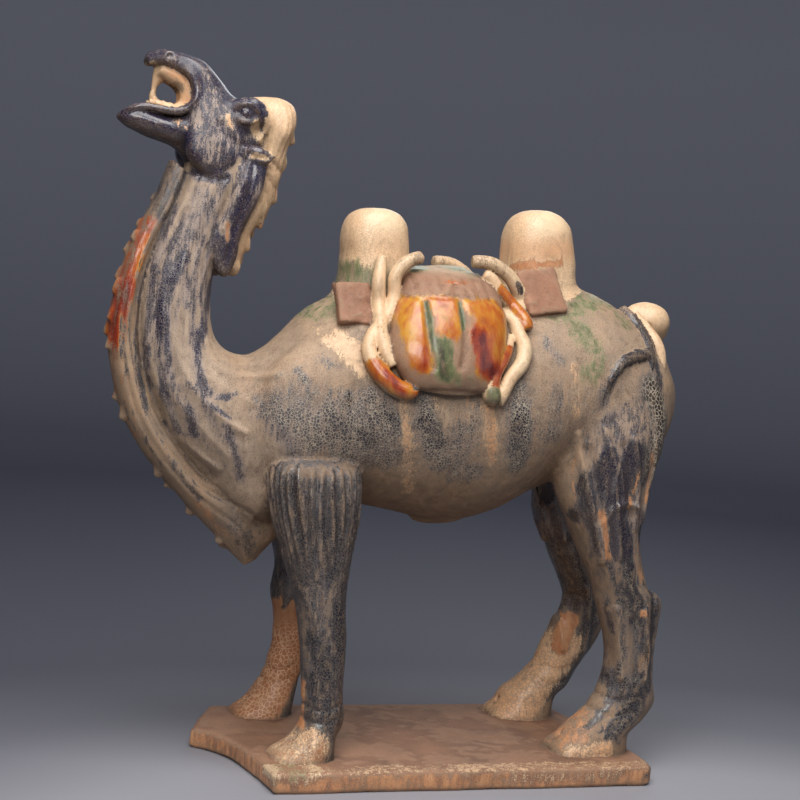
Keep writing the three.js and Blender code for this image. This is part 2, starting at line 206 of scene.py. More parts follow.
def loft(part: Part, rows: Rows, side: Side = Side.FAR, *, square: float = 2.0,
         fillet: float = 3.0, sides: int = 64,
         carve: Callable[[np.ndarray, np.ndarray], np.ndarray] | None = None) -> Form:
    """Makes a form through the sections of a table.

    Args:
        part: what the form stands for.
        rows: the sections.
        side: the side that a form off the mid-plane is on.
        square: above 2, fills out the corners of the sections.
        fillet: how softly it joins.
        sides: points around a section.
        carve: swells the surface by a share of its radius, from the angle (0 at the front edge)
            and the place along the length (0 to 1).

    Returns:
        The form.
    """
    table = smooth_rows(rows, GAP_STEPS)
    front, back, half = table[:, 0:2], table[:, 2:4], table[:, 4:5]
    off = table[:, 5:6] if table.shape[1] > 5 else np.zeros_like(half)
    angle = np.linspace(0, 2 * np.pi, sides, endpoint=False)[None, :]
    along = np.linspace(0, 1, len(table))[:, None]
    swell = 1 + (carve(angle, along) if carve else 0.0)
    power = 2 / square
    u = np.sign(np.cos(angle)) * np.abs(np.cos(angle)) ** power * swell
    v = np.sign(np.sin(angle)) * np.abs(np.sin(angle)) ** power * swell
    middle = (front + back) / 2
    reach = (front - back) / 2
    rings = np.stack([
        middle[:, 0:1] + u * reach[:, 0:1],
        MID_PLANE + side.value * (off + v * half),
        middle[:, 1:2] + u * reach[:, 1:2],
    ], axis=-1)
    return skin(rings, part, fillet)


def strand(part: Part, rows: Rows, side: Side = Side.FAR, *, fillet: float = 2.0,
           cut: bool = False, sides: int = 20, flat: float = 1.0) -> Form:
    """Makes a round strand through points of x, distance off the mid-plane, z and radius.

    Args:
        part: what the form stands for.
        rows: the points.
        side: the side that the strand is on.
        fillet: how softly it joins.
        cut: whether it is taken away.
        sides: points around a ring.
        flat: its thickness across the camel as a share of its radius.

    Returns:
        The form.
    """
    table = smooth_rows(rows, GAP_STEPS)
    path = np.stack([table[:, 0], MID_PLANE + side.value * table[:, 1], table[:, 2]], axis=-1)
    heading = np.gradient(path, axis=0)
    heading /= np.linalg.norm(heading, axis=1, keepdims=True) + 1e-9
    across = np.cross(heading, [0.0, 1.0, 0.0])
    across /= np.linalg.norm(across, axis=1, keepdims=True) + 1e-9
    outward = np.cross(heading, across)
    angle = np.linspace(0, 2 * np.pi, sides, endpoint=False)[None, :, None]
    radius = table[:, 3][:, None, None]
    rings = path[:, None] + radius * (np.cos(angle) * across[:, None]
                                      + flat * np.sin(angle) * outward[:, None])
    return skin(rings, part, fillet, cut)


def knob(part: Part, middle: Sequence[float], radii: Sequence[float], side: Side = Side.FAR, *,
         fillet: float = 3.0, turn: float = 0.0) -> Form:
    """Makes a rounded lump.

    Args:
        part: what the form stands for.
        middle: x, distance off the mid-plane and z.
        radii: its three radii.
        side: the side that it is on.
        fillet: how softly it joins.
        turn: how far it leans in the side view, in degrees.

    Returns:
        The form.
    """
    pole = 0.02  # the end rings stay open by this angle, and fans close them
    tall = np.linspace(pole, np.pi - pole, 19)[:, None]
    angle = np.linspace(0, 2 * np.pi, 32, endpoint=False)[None, :]
    x = radii[0] * np.sin(tall) * np.cos(angle)
    y = radii[1] * np.sin(tall) * np.sin(angle)
    z = radii[2] * np.cos(tall) * np.ones_like(angle)
    c, s = math.cos(math.radians(turn)), math.sin(math.radians(turn))
    rings = np.stack([
        middle[0] + c * x + s * z,
        MID_PLANE + side.value * middle[1] + y,
        middle[2] - s * x + c * z,
    ], axis=-1)
    return skin(rings, part, fillet)


@dataclass(frozen=True)
class Line:
    """A line pressed into the clay, or a ridge raised on it, from the side.

    Attributes:
        path: its corners on the side view.
        width: how far its slope reaches.
        depth: how deep it goes; a ridge has less than 0.
        low: the least distance off the mid-plane that it reaches.
        high: the greatest one.
        sides: the sides that it is on.
        smooth: whether the path is curved through its corners.
    """

    path: Rows
    width: float
    depth: float
    low: float = 0.0
    high: float = 110.0
    sides: tuple[Side, ...] = (Side.NEAR,)
    smooth: bool = True


@dataclass(frozen=True)
class Wash:
    """A brush stroke of glaze, drawn on the side view.

    Attributes:
        glaze: the glaze.
        path: its corners on the side view.
        width: half its width.
        share: how much of the surface it covers, from 0 to 1.
        soft: the share of its width over which it fades.
        heat: how far amber is from yellow to red, cream from pale to orange, or honey burnt.
        web: how clearly the crackle shows.
        coarse: whether the crackle is coarse, with dark cracks in cream and scorched blue.
        sides: the sides that it is on.
        parts: the parts that it is on, or all of them.
        low: the least distance off the mid-plane that it reaches.
        high: the greatest one.
    """

    glaze: Glaze
    path: Rows
    width: float
    share: float = 1.0
    soft: float = 0.5
    heat: float = 0.0
    web: float = 0.2
    coarse: bool = False
    sides: tuple[Side, ...] = BOTH
    parts: tuple[Part, ...] = ()
    low: float = -4.0
    high: float = 120.0


def strokes(glaze: Glaze, rows: Iterable[Sequence[object]], **same: object) -> list[Wash]:
    """Returns strokes of one glaze from rows of a path, width, share and what follows in a Wash.

    Args:
        glaze: the glaze.
        rows: each stroke's own values.
        same: the values that the strokes share.

    Returns:
        The strokes.
    """
    return [Wash(glaze, *row, **same) for row in rows]


def trickles(glaze: Glaze, rows: Rows, seed: int, count: int, longest: int,
             widths: tuple[float, float, int], **same: object) -> list[Wash]:
    """Returns thin strokes of glaze that run down a table's sections.

    Args:
        glaze: the glaze.
        rows: the sections.
        seed: the number that fixes the strokes.
        count: how many strokes there are.
        longest: how many sections a stroke may run through, of three for each gap of the table.
        widths: the least width, the step between widths, and how many widths there are.
        same: the values that the strokes share.

    Returns:
        The strokes.
    """
    chance = np.random.default_rng(seed)
    table = smooth_rows([row[:4] for row in rows], 3)
    least, step, kinds = widths
    washes = []
    for number in range(count):
        first = chance.integers(0, len(table) - 3)
        here = table[first:first + chance.integers(3, longest + 1)]
        start = chance.uniform(0.08, 0.92)
        place = start + 0.02 * chance.standard_normal((len(here), 1)).cumsum(0)
        path = here[:, :2] + (here[:, 2:] - here[:, :2]) * np.clip(place, 0.04, 0.96)
        washes.append(Wash(glaze, path, least + step * (number % kinds), **same))
    return washes


class Clay:
    """A block of clay, held as distances to its surface on an even grid."""

    LINE_STEPS = 5  # straight pieces for each gap between a curved line's corners
    LINE_REACH = 2.6  # how many of its widths a line is felt over

    def __init__(self, low: Sequence[float], high: Sequence[float], grain: float,
                 reach: float) -> None:
        """Sets out an empty block.

        Args:
            low: the lowest corner.
            high: the highest corner.
            grain: the grid's pitch.
            reach: how far from the surface distances are kept.
        """
        self.grain = grain
        self.reach = reach
        self.first = np.floor(np.array(low) / grain).astype(int)
        shape = np.ceil(np.array(high) / grain).astype(int) - self.first
        self.distance = np.full(shape, reach, np.float32)
        self.part = np.zeros(shape, np.uint8)

    def _axis(self, number: int, window: slice) -> np.ndarray:
        """Returns the places of a window's cells along one axis."""
        return (np.arange(window.start, window.stop) + self.first[number]) * self.grain

    def _window(self, low: np.ndarray, high: np.ndarray) -> tuple[slice, ...]:
        """Finds the cells between two grid corners, cut to the block.

        Args:
            low: the lowest cell.
            high: the highest cell.

        Returns:
            The cells along each axis.
        """
        start = np.clip(low - self.first, 0, self.distance.shape)
        stop = np.clip(high - self.first + 1, 0, self.distance.shape)
        return tuple(slice(int(a), int(b)) for a, b in zip(start, stop))

    def shape(self, forms: Iterable[Form]) -> None:
        """Lays forms on the clay, or cuts them from it, one after the other.

        Args:
            forms: the forms.
        """
        for form in forms:
            grid = openvdb.FloatGrid.createLevelSetFromPolygons(
                np.ascontiguousarray(form.points, dtype=np.float32),
                triangles=np.ascontiguousarray(form.tris, dtype=np.uint32),
                quads=np.ascontiguousarray(form.quads, dtype=np.uint32),
                transform=openvdb.createLinearTransform(voxelSize=self.grain),
                halfWidth=self.reach / self.grain,
            )
            low, high = (np.array(corner) for corner in grid.evalActiveVoxelBoundingBox())
            window = self._window(low, high)
            block = np.empty([s.stop - s.start for s in window], np.float32)
            origin = [int(s.start + f) for s, f in zip(window, self.first)]
            grid.copyToArray(block, ijk=tuple(origin))
            self._blend(window, block, form)

    def _blend(self, window: tuple[slice, ...], block: np.ndarray, form: Form) -> None:
        """Joins a measured form to the clay with its fillet.

        Args:
            window: the cells that it was measured in.
            block: its distance at each of them.
            form: the form.
        """
        here = self.distance[window]
        sign = -1.0 if form.cut else 1.0
        share = np.clip(0.5 + 0.5 * (sign * here - block) / form.fillet, 0, 1)
        mixed = sign * here * (1 - share) + block * share - form.fillet * share * (1 - share)
        self.distance[window] = sign * mixed
        self.part[window][share > 0.5] = form.part

    def press(self, lines: Iterable[Line]) -> None:
        """Presses lines into the clay from the side, or raises them.

        Args:
            lines: the lines.
        """
        for line in lines:
            path = np.array(line.path, float)
            if line.smooth:
                path = smooth_rows(line.path, self.LINE_STEPS)
            margin = self.LINE_REACH * line.width
            left, bottom = path[:, :2].min(axis=0) - margin
            right, top = path[:, :2].max(axis=0) + margin
            for side in line.sides:
                inner, outer = sorted(MID_PLANE + side.value * v for v in (line.low, line.high))
                low = np.array([left, inner, bottom])
                high = np.array([right, outer, top])
                window = self._window(np.floor(low / self.grain).astype(int),
                                      np.ceil(high / self.grain).astype(int))
                x = self._axis(0, window[0])[:, None]
                z = self._axis(2, window[2])[None, :]
                distance = away(path, *np.broadcast_arrays(x, z))
                dent = line.depth * np.exp(-((distance / line.width) ** 2))
                self.distance[window] += dent[:, None, :].astype(np.float32)

    def unsettle(self, seed: int, cell: float, height: float) -> None:
        """Makes the surface as uneven as a hand leaves it.

        Args:
            seed: the number that fixes the unevenness.
            cell: how far apart the swells are.
            height: how high they are.
        """
        weights = [self._weights(size, cell / self.grain) for size in self.distance.shape]
        swells = np.random.default_rng(seed).uniform(
            -1, 1, [w.shape[1] for w in weights]).astype(np.float32)
        for axis, weight in enumerate(weights):
            swells = np.moveaxis(np.tensordot(weight, swells, (1, axis)), 0, axis)
        self.distance += height * swells

    @staticmethod
    def _weights(size: int, pitch: float) -> np.ndarray:
        """Works out the weights that stretch coarse values smoothly over an axis.

        Args:
            size: the axis's cells.
            pitch: the cells between coarse values.

        Returns:
            The weights, by cell and coarse value.
        """
        place = np.arange(size) / pitch
        left = place.astype(int)
        t = place - left
        t = t * t * (3 - 2 * t)
        weight = np.zeros((size, left.max() + 2), np.float32)
        weight[np.arange(size), left] = 1 - t
        weight[np.arange(size), left + 1] = t
        return weight

    def blurred(self, sigma: float) -> np.ndarray:
        """Blurs the distances.

        Args:
            sigma: how many cells they are blurred over.

        Returns:
            The blurred distances.
        """
        span = int(3 * sigma)
        kernel = np.exp(-0.5 * (np.arange(-span, span + 1) / sigma) ** 2).astype(np.float32)
        kernel /= kernel.sum()
        out = self.distance
        for axis in range(3):
            padded = np.pad(out, [(span, span) if a == axis else (0, 0) for a in range(3)],
                            mode="edge")
            total = np.zeros_like(self.distance)
            for k, weight in enumerate(kernel):
                cut = [slice(None)] * 3
                cut[axis] = slice(k, k + out.shape[axis])
                total += weight * padded[tuple(cut)]
            out = total
        return out

    def sample(self, values: np.ndarray, points: np.ndarray) -> np.ndarray:
        """Reads the cells nearest to points.

        Args:
            values: a value for each cell.
            points: the points.

        Returns:
            The value for each point.
        """
        cell = np.rint(points / self.grain).astype(int) - self.first
        cell = np.clip(cell, 0, np.array(values.shape) - 1)
        return values[tuple(cell.T)]

    def surface(self) -> tuple[np.ndarray, np.ndarray]:
        """Turns the clay's surface into a mesh.

        Returns:
            Its points and four-sided faces.
        """
        grid = openvdb.FloatGrid(self.reach)
        grid.transform = openvdb.createLinearTransform(voxelSize=self.grain)
        grid.copyFromArray(self.distance, ijk=tuple(int(v) for v in self.first))
        return grid.convertToQuads(0.0)


@dataclass(frozen=True)
class Slab:
    """The flat slab, with one pointed end whose near side is cut hollow."""

    thickness: float = 15.0
    left: float = -150.0
    right: float = 158.0
    half_depth: float = 100.0
    prow: float = 31.0
    bulge: float = 8.0
    corner: float = 5.0
    edge: float = 2.0

    def outline(self) -> np.ndarray:
        """Draws the slab's outline, with its point and its curved ends.

        Returns:
            Closely spaced points of x and y.
        """
        left, right, half = self.left, self.right, self.half_depth
        near_corner = (right - self.bulge - self.corner, -half)
        cut_end = (right - self.bulge, -half + self.corner)
        far_corner = (right - 1.5 * self.bulge, half)
        tip = (left - self.prow, 0.28 * half)
        edges = [
            (near_corner, None, cut_end),
            (cut_end, (right + self.bulge, -0.2 * half), far_corner),
            (far_corner, None, (left, half)),
            ((left, half), None, tip),
            (tip, (left, 0.05 * half), (left, -half)),
            ((left, -half), None, near_corner),
        ]
        points = []
        for start, bend, end in edges:
            a, c = np.array(start), np.array(end)
            b = (a + c) / 2 if bend is None else np.array(bend)
            for t in np.linspace(0, 1, 12, endpoint=False):
                points.append((1 - t) ** 2 * a + 2 * t * (1 - t) * b + t**2 * c)
        return np.array(points)

    def forms(self) -> list[Form]:
        """Models the slab's lumps.

        Returns:
            The forms, in the order they are laid.
        """
        outline = self.outline()
        middle = outline.mean(axis=0)
        edge, top = self.edge, self.thickness
        levels = [(0.0, edge), (edge, 0.0), (top - edge, 0.0), (top, edge)]
        rings = []
        for height, inset in levels:
            share = 1 - inset / self.half_depth
            flat = middle + (outline - middle) * share
            rings.append(np.column_stack([flat, np.full(len(flat), height)]))
        return [skin(np.array(rings), Part.SLAB, 1.0)]

    def washes(self) -> list[Wash]:
        """Brushes the slab's honey-coloured sides, its bare top and the runs from the feet.

        Returns:
            The strokes, in the order they are laid.
        """
        sides, rim, top = ([(self.left - self.prow, z), (self.right + self.bulge, z)]
                           for z in (3, 15, 24))
        slab = {"parts": (Part.SLAB,)}
        near = slab | {"sides": (Side.NEAR,)}
        return [
            Wash(Glaze.SOOT, top, 40, 0.62, 0.3, **slab),
            Wash(Glaze.RED_CLAY, top, 40, 0.8, 0.3, **slab),
            Wash(Glaze.HONEY, sides, 11, 0.56, 0.2, web=0.4, **slab),
            Wash(Glaze.CREAM, rim, 3.2, 0.4, 0.9, heat=0.4, low=90, **slab),
            Wash(Glaze.CREAM, [(-152, 14), (-118, 15)], 8, 0.7, web=0.4, low=80, **near),
            Wash(Glaze.GREEN, [(-140, 14), (-128, 14)], 6, 0.4, low=80, **near),
            Wash(Glaze.CREAM, [(30, 8), (120, 10)], 6, 0.4, 0.9, 0.3, 0.7, low=90, **near),
            Wash(Glaze.COBALT, [(142, 7), (150, 13)], 3, 0.7, 0.9, low=88, **near),
        ]


@dataclass(frozen=True)
class Trunk:
    """The barrel of the body with the shoulders and haunches laid on it."""

    rows: Rows = (
        (-166, 290, -170, 198, 32),
        (-138, 321, -130, 182, 55),
        (-110, 347, -92, 196, 66),
        (-64, 360, -50, 192, 73),
        (-20, 364, -6, 186, 76),
        (22, 367, 36, 192, 76),
        (64, 371, 77, 214, 72),
        (104, 372, 118, 228, 67),
        (136, 360, 154, 232, 58),
        (164, 344, 178, 246, 46),
        (186, 314, 190, 270, 22),
    )
    shoulder: Sequence[float] = (-118, 37, 262)
    shoulder_radii: Sequence[float] = (46, 27, 56)
    breast: Sequence[float] = (-150, 0, 204)
    breast_radii: Sequence[float] = (24, 36, 28)
    belly_knot: Sequence[float] = (-2, 0, 189)
    belly_knot_radii: Sequence[float] = (17, 8, 6)
    fillet: float = 7.5

    def flank(self, x: float, z: float) -> float:
        """Finds how far the trunk's side is from the mid-plane.

        Args:
            x: the x.
            z: the z.

        Returns:
            The distance.
        """
        table = np.array(self.rows, float)
        top, bottom, half = (np.interp(x, table[:, 0], table[:, n]) for n in (1, 3, 4))
        share = np.clip((z - (top + bottom) / 2) / ((top - bottom) / 2), -1, 1)
        return float(half * math.sqrt(1 - share * share))

    def forms(self) -> list[Form]:
        """Models the trunk's lumps.

        Returns:
            The forms, in the order they are laid.
        """
        return [
            loft(Part.HIDE, self.rows, sides=96),
            knob(Part.HIDE, self.belly_knot, self.belly_knot_radii, fillet=self.fillet),
            knob(Part.HIDE, self.breast, self.breast_radii, fillet=self.fillet),
            *[knob(Part.HIDE, self.shoulder, self.shoulder_radii, side, fillet=self.fillet, turn=12)
              for side in BOTH],
        ]

    def lines(self) -> list[Line]:
        """Draws the creases behind the shoulder and before the haunch, and the belly's ridge.

        Returns:
            The lines.
        """
        return [
            Line([(-96, 286), (-84, 262), (-78, 236), (-72, 206)], 7, 1.8, 20, sides=BOTH),
            Line([(80, 262), (72, 240), (70, 218)], 8, 1.6, 20, sides=BOTH),
            Line([(-58, 188), (-20, 183), (30, 187)], 3, -1.2, 0, 30, sides=BOTH),
        ]

    def washes(self) -> list[Wash]:
        """Brushes the worn blue down the flanks, with pale runs between, and the green above.

        Returns:
            The strokes, in the order they are laid.
        """
        cobalt, cream, green = Glaze.COBALT, Glaze.CREAM, Glaze.GREEN
        hide = {"parts": (Part.HIDE, Part.HIND_LEG, Part.FORELEG, Part.HUMP)}
        shoulder = [(-138, 262), (-104, 258), (-70, 254)]
        flank = [(-150, 262), (-60, 258), (40, 262), (112, 288)]
        back = [(-150, 300), (-100, 324), (-20, 330), (90, 330), (140, 320)]
        stripes = [
            ([(-154, 262), (-136, 244)], 21, 0.62),
            ([(-118, 258), (-98, 262), (-94, 240)], 22, 0.62),
            ([(-86, 282), (-76, 246), (-66, 236)], 14, 0.66),
            ([(-46, 292), (-42, 262), (-32, 236)], 13, 0.7),
            ([(-30, 240), (-14, 232), (0, 228)], 13, 0.62),
            ([(-16, 262), (-12, 226)], 12, 0.5),
            ([(-8, 284), (-8, 262)], 5, 0.72),
            ([(28, 296), (32, 262), (34, 236)], 13, 0.76),
            ([(58, 296), (60, 262)], 10, 0.45),
            ([(52, 330), (62, 316)], 8, 0.51),
            ([(-120, 305), (-108, 300)], 8, 0.37),
            ([(-138, 296), (-134, 290)], 5, 0.56),
        ]
        darkest = [
            ([(-152, 246), (-144, 238)], 13, 0.98),
            ([(-114, 262), (-104, 256)], 8, 0.8),
            ([(-102, 281), (-100, 274)], 5, 1.0),
            ([(-90, 254), (-84, 248)], 8, 1.0),
            ([(-72, 270), (-64, 262)], 7, 0.9),
            ([(-46, 266), (-32, 250)], 10, 1.0),
            ([(28, 268), (31, 246)], 10, 1.0),
        ]
        runs = [
            ([(-64, 288), (-58, 260), (-46, 212)], 6, 0.66, 0.7, 0.6),
            ([(-38, 280), (-30, 268)], 8, 0.4, 0.7, 0.2),
            ([(-14, 290), (-8, 266)], 6, 0.4, 0.7, 0.6),
            ([(3, 290), (8, 258), (12, 240)], 8, 0.7, 0.7, 0.75),
            ([(74, 312), (78, 276)], 8, 0.6, 0.7, 0.6),
        ]
        return [
            Wash(Glaze.SLIP, back, 40, 0.35, 0.9, web=0.5, **hide),
            Wash(Glaze.SLIP, flank, 44, 0.16, 0.9, web=0.9, **hide),
            Wash(cobalt, flank, 50, 0.22, 0.9, web=0.95, **hide),
            Wash(cobalt, shoulder, 40, 0.54, 0.9, web=0.95, **hide),
            *strokes(cobalt, stripes, soft=0.9, web=1.0, **hide),
            *strokes(cobalt, darkest, soft=0.9, web=0.55, **hide),
            *strokes(cream, runs, web=1.0, coarse=True, **hide),
            Wash(green, [(-122, 336), (-96, 346)], 15, 0.5, 0.9, **hide),
            Wash(cream, [(-112, 322), (-102, 314), (-90, 304)], 15, 0.85, 0.8, 0.3, 0.6, high=70,
                 **hide),
            Wash(cream, [(-128, 332), (-112, 326)], 6, 0.4, 0.9, heat=0.5, **hide),
            Wash(green, [(78, 344), (92, 326), (88, 306)], 17, 0.6, 0.9, web=0.4, **hide),
            Wash(green, [(60, 352), (112, 366), (130, 350)], 15, 0.5, 0.9, **hide),
            Wash(green, [(-60, 372), (-60, 350)], 12, 0.4, 0.9, **hide),
        ]


@dataclass(frozen=True)
class Neck:
    """The neck, bent back in a long curve, with the hair's soft ridges down its sides."""

    rows: Rows = (
        (-160, 172, -118, 328, 44),
        (-192, 206, -143, 312, 42),
        (-217, 234, -165, 303, 38),
        (-235, 264, -184, 308, 33),
        (-246, 296, -193, 324, 29),
        (-249, 325, -195, 350, 27),
        (-247, 355, -193, 370, 26),
        (-239, 382, -187, 388, 25),
        (-229, 410, -181, 410, 25),
        (-221, 434, -173, 430, 25),
        (-218, 455, -160, 452, 22),
    )
    ridges: Sequence[tuple[float, float]] = ((0.1, 1.5), (0.24, 0.8), (0.42, 1.6), (0.6, 0.7),
                                            (0.8, 1.3))

    def forms(self) -> list[Form]:
        """Returns the neck's lump."""
        return [loft(Part.HIDE, self.rows, fillet=7, sides=72)]

    def lines(self) -> list[Line]:
        """Draws the ridges that follow the neck from the jaw to the breast.

        Returns:
            The lines.
        """
        ridges = []
        chance = np.random.default_rng(17)
        for share, height in self.ridges:
            path = []
            for ax, az, bx, bz, _ in self.rows[1:-1]:
                here = share + chance.uniform(-0.035, 0.035)
                path.append((ax + (bx - ax) * here, az + (bz - az) * here))
            ridges.append(Line(path, chance.uniform(2.0, 3.4), -height, 6, sides=BOTH))
        return ridges

    def washes(self) -> list[Wash]:
        """Brushes the blue that ran down the neck in streaks.

        Returns:
            The strokes, in the order they are laid.
        """
        streaks = [
            ([(-206, 420), (-222, 360), (-222, 310), (-205, 262), (-182, 226)], 34, 0.22, 0.9),
            ([(-222, 400), (-232, 370), (-236, 330), (-232, 286), (-216, 244)], 4, 0.58, 0.9),
            ([(-206, 410), (-212, 372), (-213, 330), (-208, 290), (-196, 256)], 5, 0.5, 0.9),
            ([(-200, 404), (-204, 372), (-206, 338)], 5, 0.52, 0.9),
            ([(-186, 252), (-176, 232), (-170, 214)], 5, 0.62, 0.9),
            ([(-236, 262), (-222, 238), (-206, 222)], 3, 0.72, 0.9),
            ([(-228, 408), (-240, 368), (-243, 330), (-241, 290), (-230, 250), (-208, 214)], 4, 0.6,
             0.9),
            ([(-212, 416), (-222, 384)], 11, 0.5, 0.9),
            ([(-222, 372), (-234, 344), (-233, 316)], 7, 0.94, 0.8),
            ([(-216, 354), (-219, 340)], 8, 0.56, 0.9),
            ([(-230, 310), (-226, 280)], 4, 0.72, 0.9),
            ([(-197, 394), (-195, 366), (-199, 346), (-204, 318)], 6, 0.8, 0.8),
            ([(-196, 392), (-194, 378)], 8, 0.96, 0.7),
            ([(-208, 318), (-206, 292), (-200, 276)], 4, 0.82, 0.8),
            ([(-202, 276), (-190, 272), (-180, 276)], 2.6, 0.8, 0.8),
            ([(-196, 266), (-184, 258)], 2.6, 0.8, 0.8),
            ([(-212, 262), (-206, 244)], 5, 0.76, 0.8),
            ([(-222, 226), (-206, 202), (-194, 190)], 6, 0.9, 0.7),
            ([(-226, 250), (-214, 222)], 4, 0.8, 0.8),
            ([(-188, 186), (-176, 172)], 5, 0.88, 0.8),
            ([(-214, 432), (-196, 431)], 7, 0.96, 0.6),
        ]
        spine = [(-200, 430), (-216, 380), (-222, 320), (-206, 262), (-170, 226)]
        same = {"web": 0.3, "parts": (Part.HIDE,)}
        return [
            Wash(Glaze.SLIP, spine, 44, 0.9, 0.6, **same),
            *strokes(Glaze.COBALT, streaks, **same),
            *trickles(Glaze.COBALT, self.rows[2:], 31, 18, 5, (1.2, 0.3, 5), share=0.5, soft=0.9,
                      **same),
        ]


@dataclass(frozen=True)
class ThroatMane:
    """The mane that hangs as a roll down the throat to a point on the breast."""

    rows: Rows = (
        (-232, 442, -215, 430, 11),
        (-242, 413, -223, 406, 13),
        (-255, 384, -236, 379, 14),
        (-263, 355, -244, 354, 15),
        (-268, 325, -247, 327, 16),
        (-266, 293, -244, 300, 17),
        (-254, 254, -232, 266, 18),
        (-234, 223, -214, 238, 19),
        (-207, 194, -188, 212, 20),
        (-181, 170, -140, 192, 20),
        (-167, 156, -128, 174, 14),
        (-154, 145, -145, 150, 3),
    )
    lock_radius: float = 5.2
    lock_root: float = 4.2
    lock_reach: float = 0.9
    lock_drop: float = 4.0
    lock_stagger: float = 3.5
    locks_left_out: float = 0.3

    def forms(self) -> list[Form]:
        """Models the roll and the uneven locks along its front edge.

        Returns:
            The forms, in the order they are laid.
        """
        out = [loft(Part.MANE, self.rows, fillet=3, sides=48)]
        chance = np.random.default_rng(11)
        for i, (ax, az, bx, bz, _) in enumerate(smooth_rows(self.rows, 3)[2:-3]):
            if chance.random() < self.locks_left_out:
                continue
            length = math.hypot(ax - bx, az - bz)
            nx, nz = (ax - bx) / length, (az - bz) / length
            off = self.lock_stagger * (1 if i % 2 else -1)
            reach, size = self.lock_reach * chance.uniform(0.1, 1.0), chance.uniform(0.6, 1.1)
            radius, root = self.lock_radius * size, self.lock_root * size
            out.append(strand(Part.MANE, [
                (ax - nx * root, off, az - nz * root + root, radius),
                (ax - 0.3 * nx * root, off, az, 0.8 * radius),
                (ax + nx * reach, off, az + nz * reach - self.lock_drop * size, 2.8),
            ], fillet=3, sides=10))
        return out

    def lines(self) -> list[Line]:
        """Draws the grooves between the roll's long locks and behind the roll.

        Returns:
            The lines.
        """
        grooves = []
        for share, depth in ((0.34, 1.0), (0.66, 1.2)):
            path = [(ax + (bx - ax) * share, az + (bz - az) * share)
                    for ax, az, bx, bz, _ in self.rows[:-1]]
            grooves.append(Line(path, 1.5, depth, 5, sides=BOTH))
        behind = [(bx + 2, bz) for _, _, bx, bz, _ in self.rows[1:9]]
        return [*grooves, Line(behind, 2.0, 1.0, 5, sides=BOTH)]

    def washes(self) -> list[Wash]:
        """Brushes the red stripe down the roll, between blue at its top and foot.

        Returns:
            The strokes, in the order they are laid.
        """
        mane = {"parts": (Part.MANE,)}
        inky = mane | {"web": 0.1}
        red = [(-246, 394), (-251, 380), (-259, 354), (-264, 330), (-264, 312)]
        return [
            Wash(Glaze.SOOT, [(-228, 444), (-236, 414), (-250, 380), (-262, 320)], 14, 0.66, 0.7,
                 **mane),
            *trickles(Glaze.COBALT, self.rows, 32, 16, 6, (1.8, 0, 1), share=0.55, soft=0.9, **inky),
            Wash(Glaze.COBALT, [(-236, 392), (-246, 352), (-249, 300), (-240, 262)], 4, 0.66, 0.8,
                 **inky),
            Wash(Glaze.HONEY, [(-244, 418), (-262, 368)], 5, 0.5, 0.9, **mane),
            Wash(Glaze.COBALT, [(-224, 450), (-230, 424), (-236, 404)], 17, 0.7, 0.8, **inky),
            Wash(Glaze.AMBER, red, 14, 0.56, 0.9, 0.72, **inky),
            Wash(Glaze.AMBER, [(-258, 348), (-263, 326), (-263, 302)], 9, 0.7, 0.9, 0.88, **inky),
            Wash(Glaze.AMBER, [(-248, 384), (-254, 360)], 5, 0.8, 0.8, 0.45, **mane),
            Wash(Glaze.HONEY, [(-262, 292), (-256, 262), (-244, 240)], 9, 0.5, 0.9, **mane),
            Wash(Glaze.AMBER, [(-264, 302), (-262, 276), (-252, 250)], 7, 0.42, 0.9, 0.85, **inky),
            *trickles(Glaze.COBALT, self.rows[:8], 33, 14, 5, (1.4, 0, 1), share=0.5, soft=0.9,
                      **inky),
            Wash(Glaze.AMBER, [(-262, 282), (-258, 262)], 4, 0.3, 0.9, 0.5, **mane),
            Wash(Glaze.HONEY, [(-200, 196), (-172, 168)], 6, 0.5, 0.9, **mane),
            Wash(Glaze.COBALT, [(-222, 226), (-196, 196)], 5, 0.5, 0.8, **inky),
            Wash(Glaze.COBALT, [(-170, 182), (-152, 158)], 15, 0.5, 0.9, web=0.4, **mane),
        ]


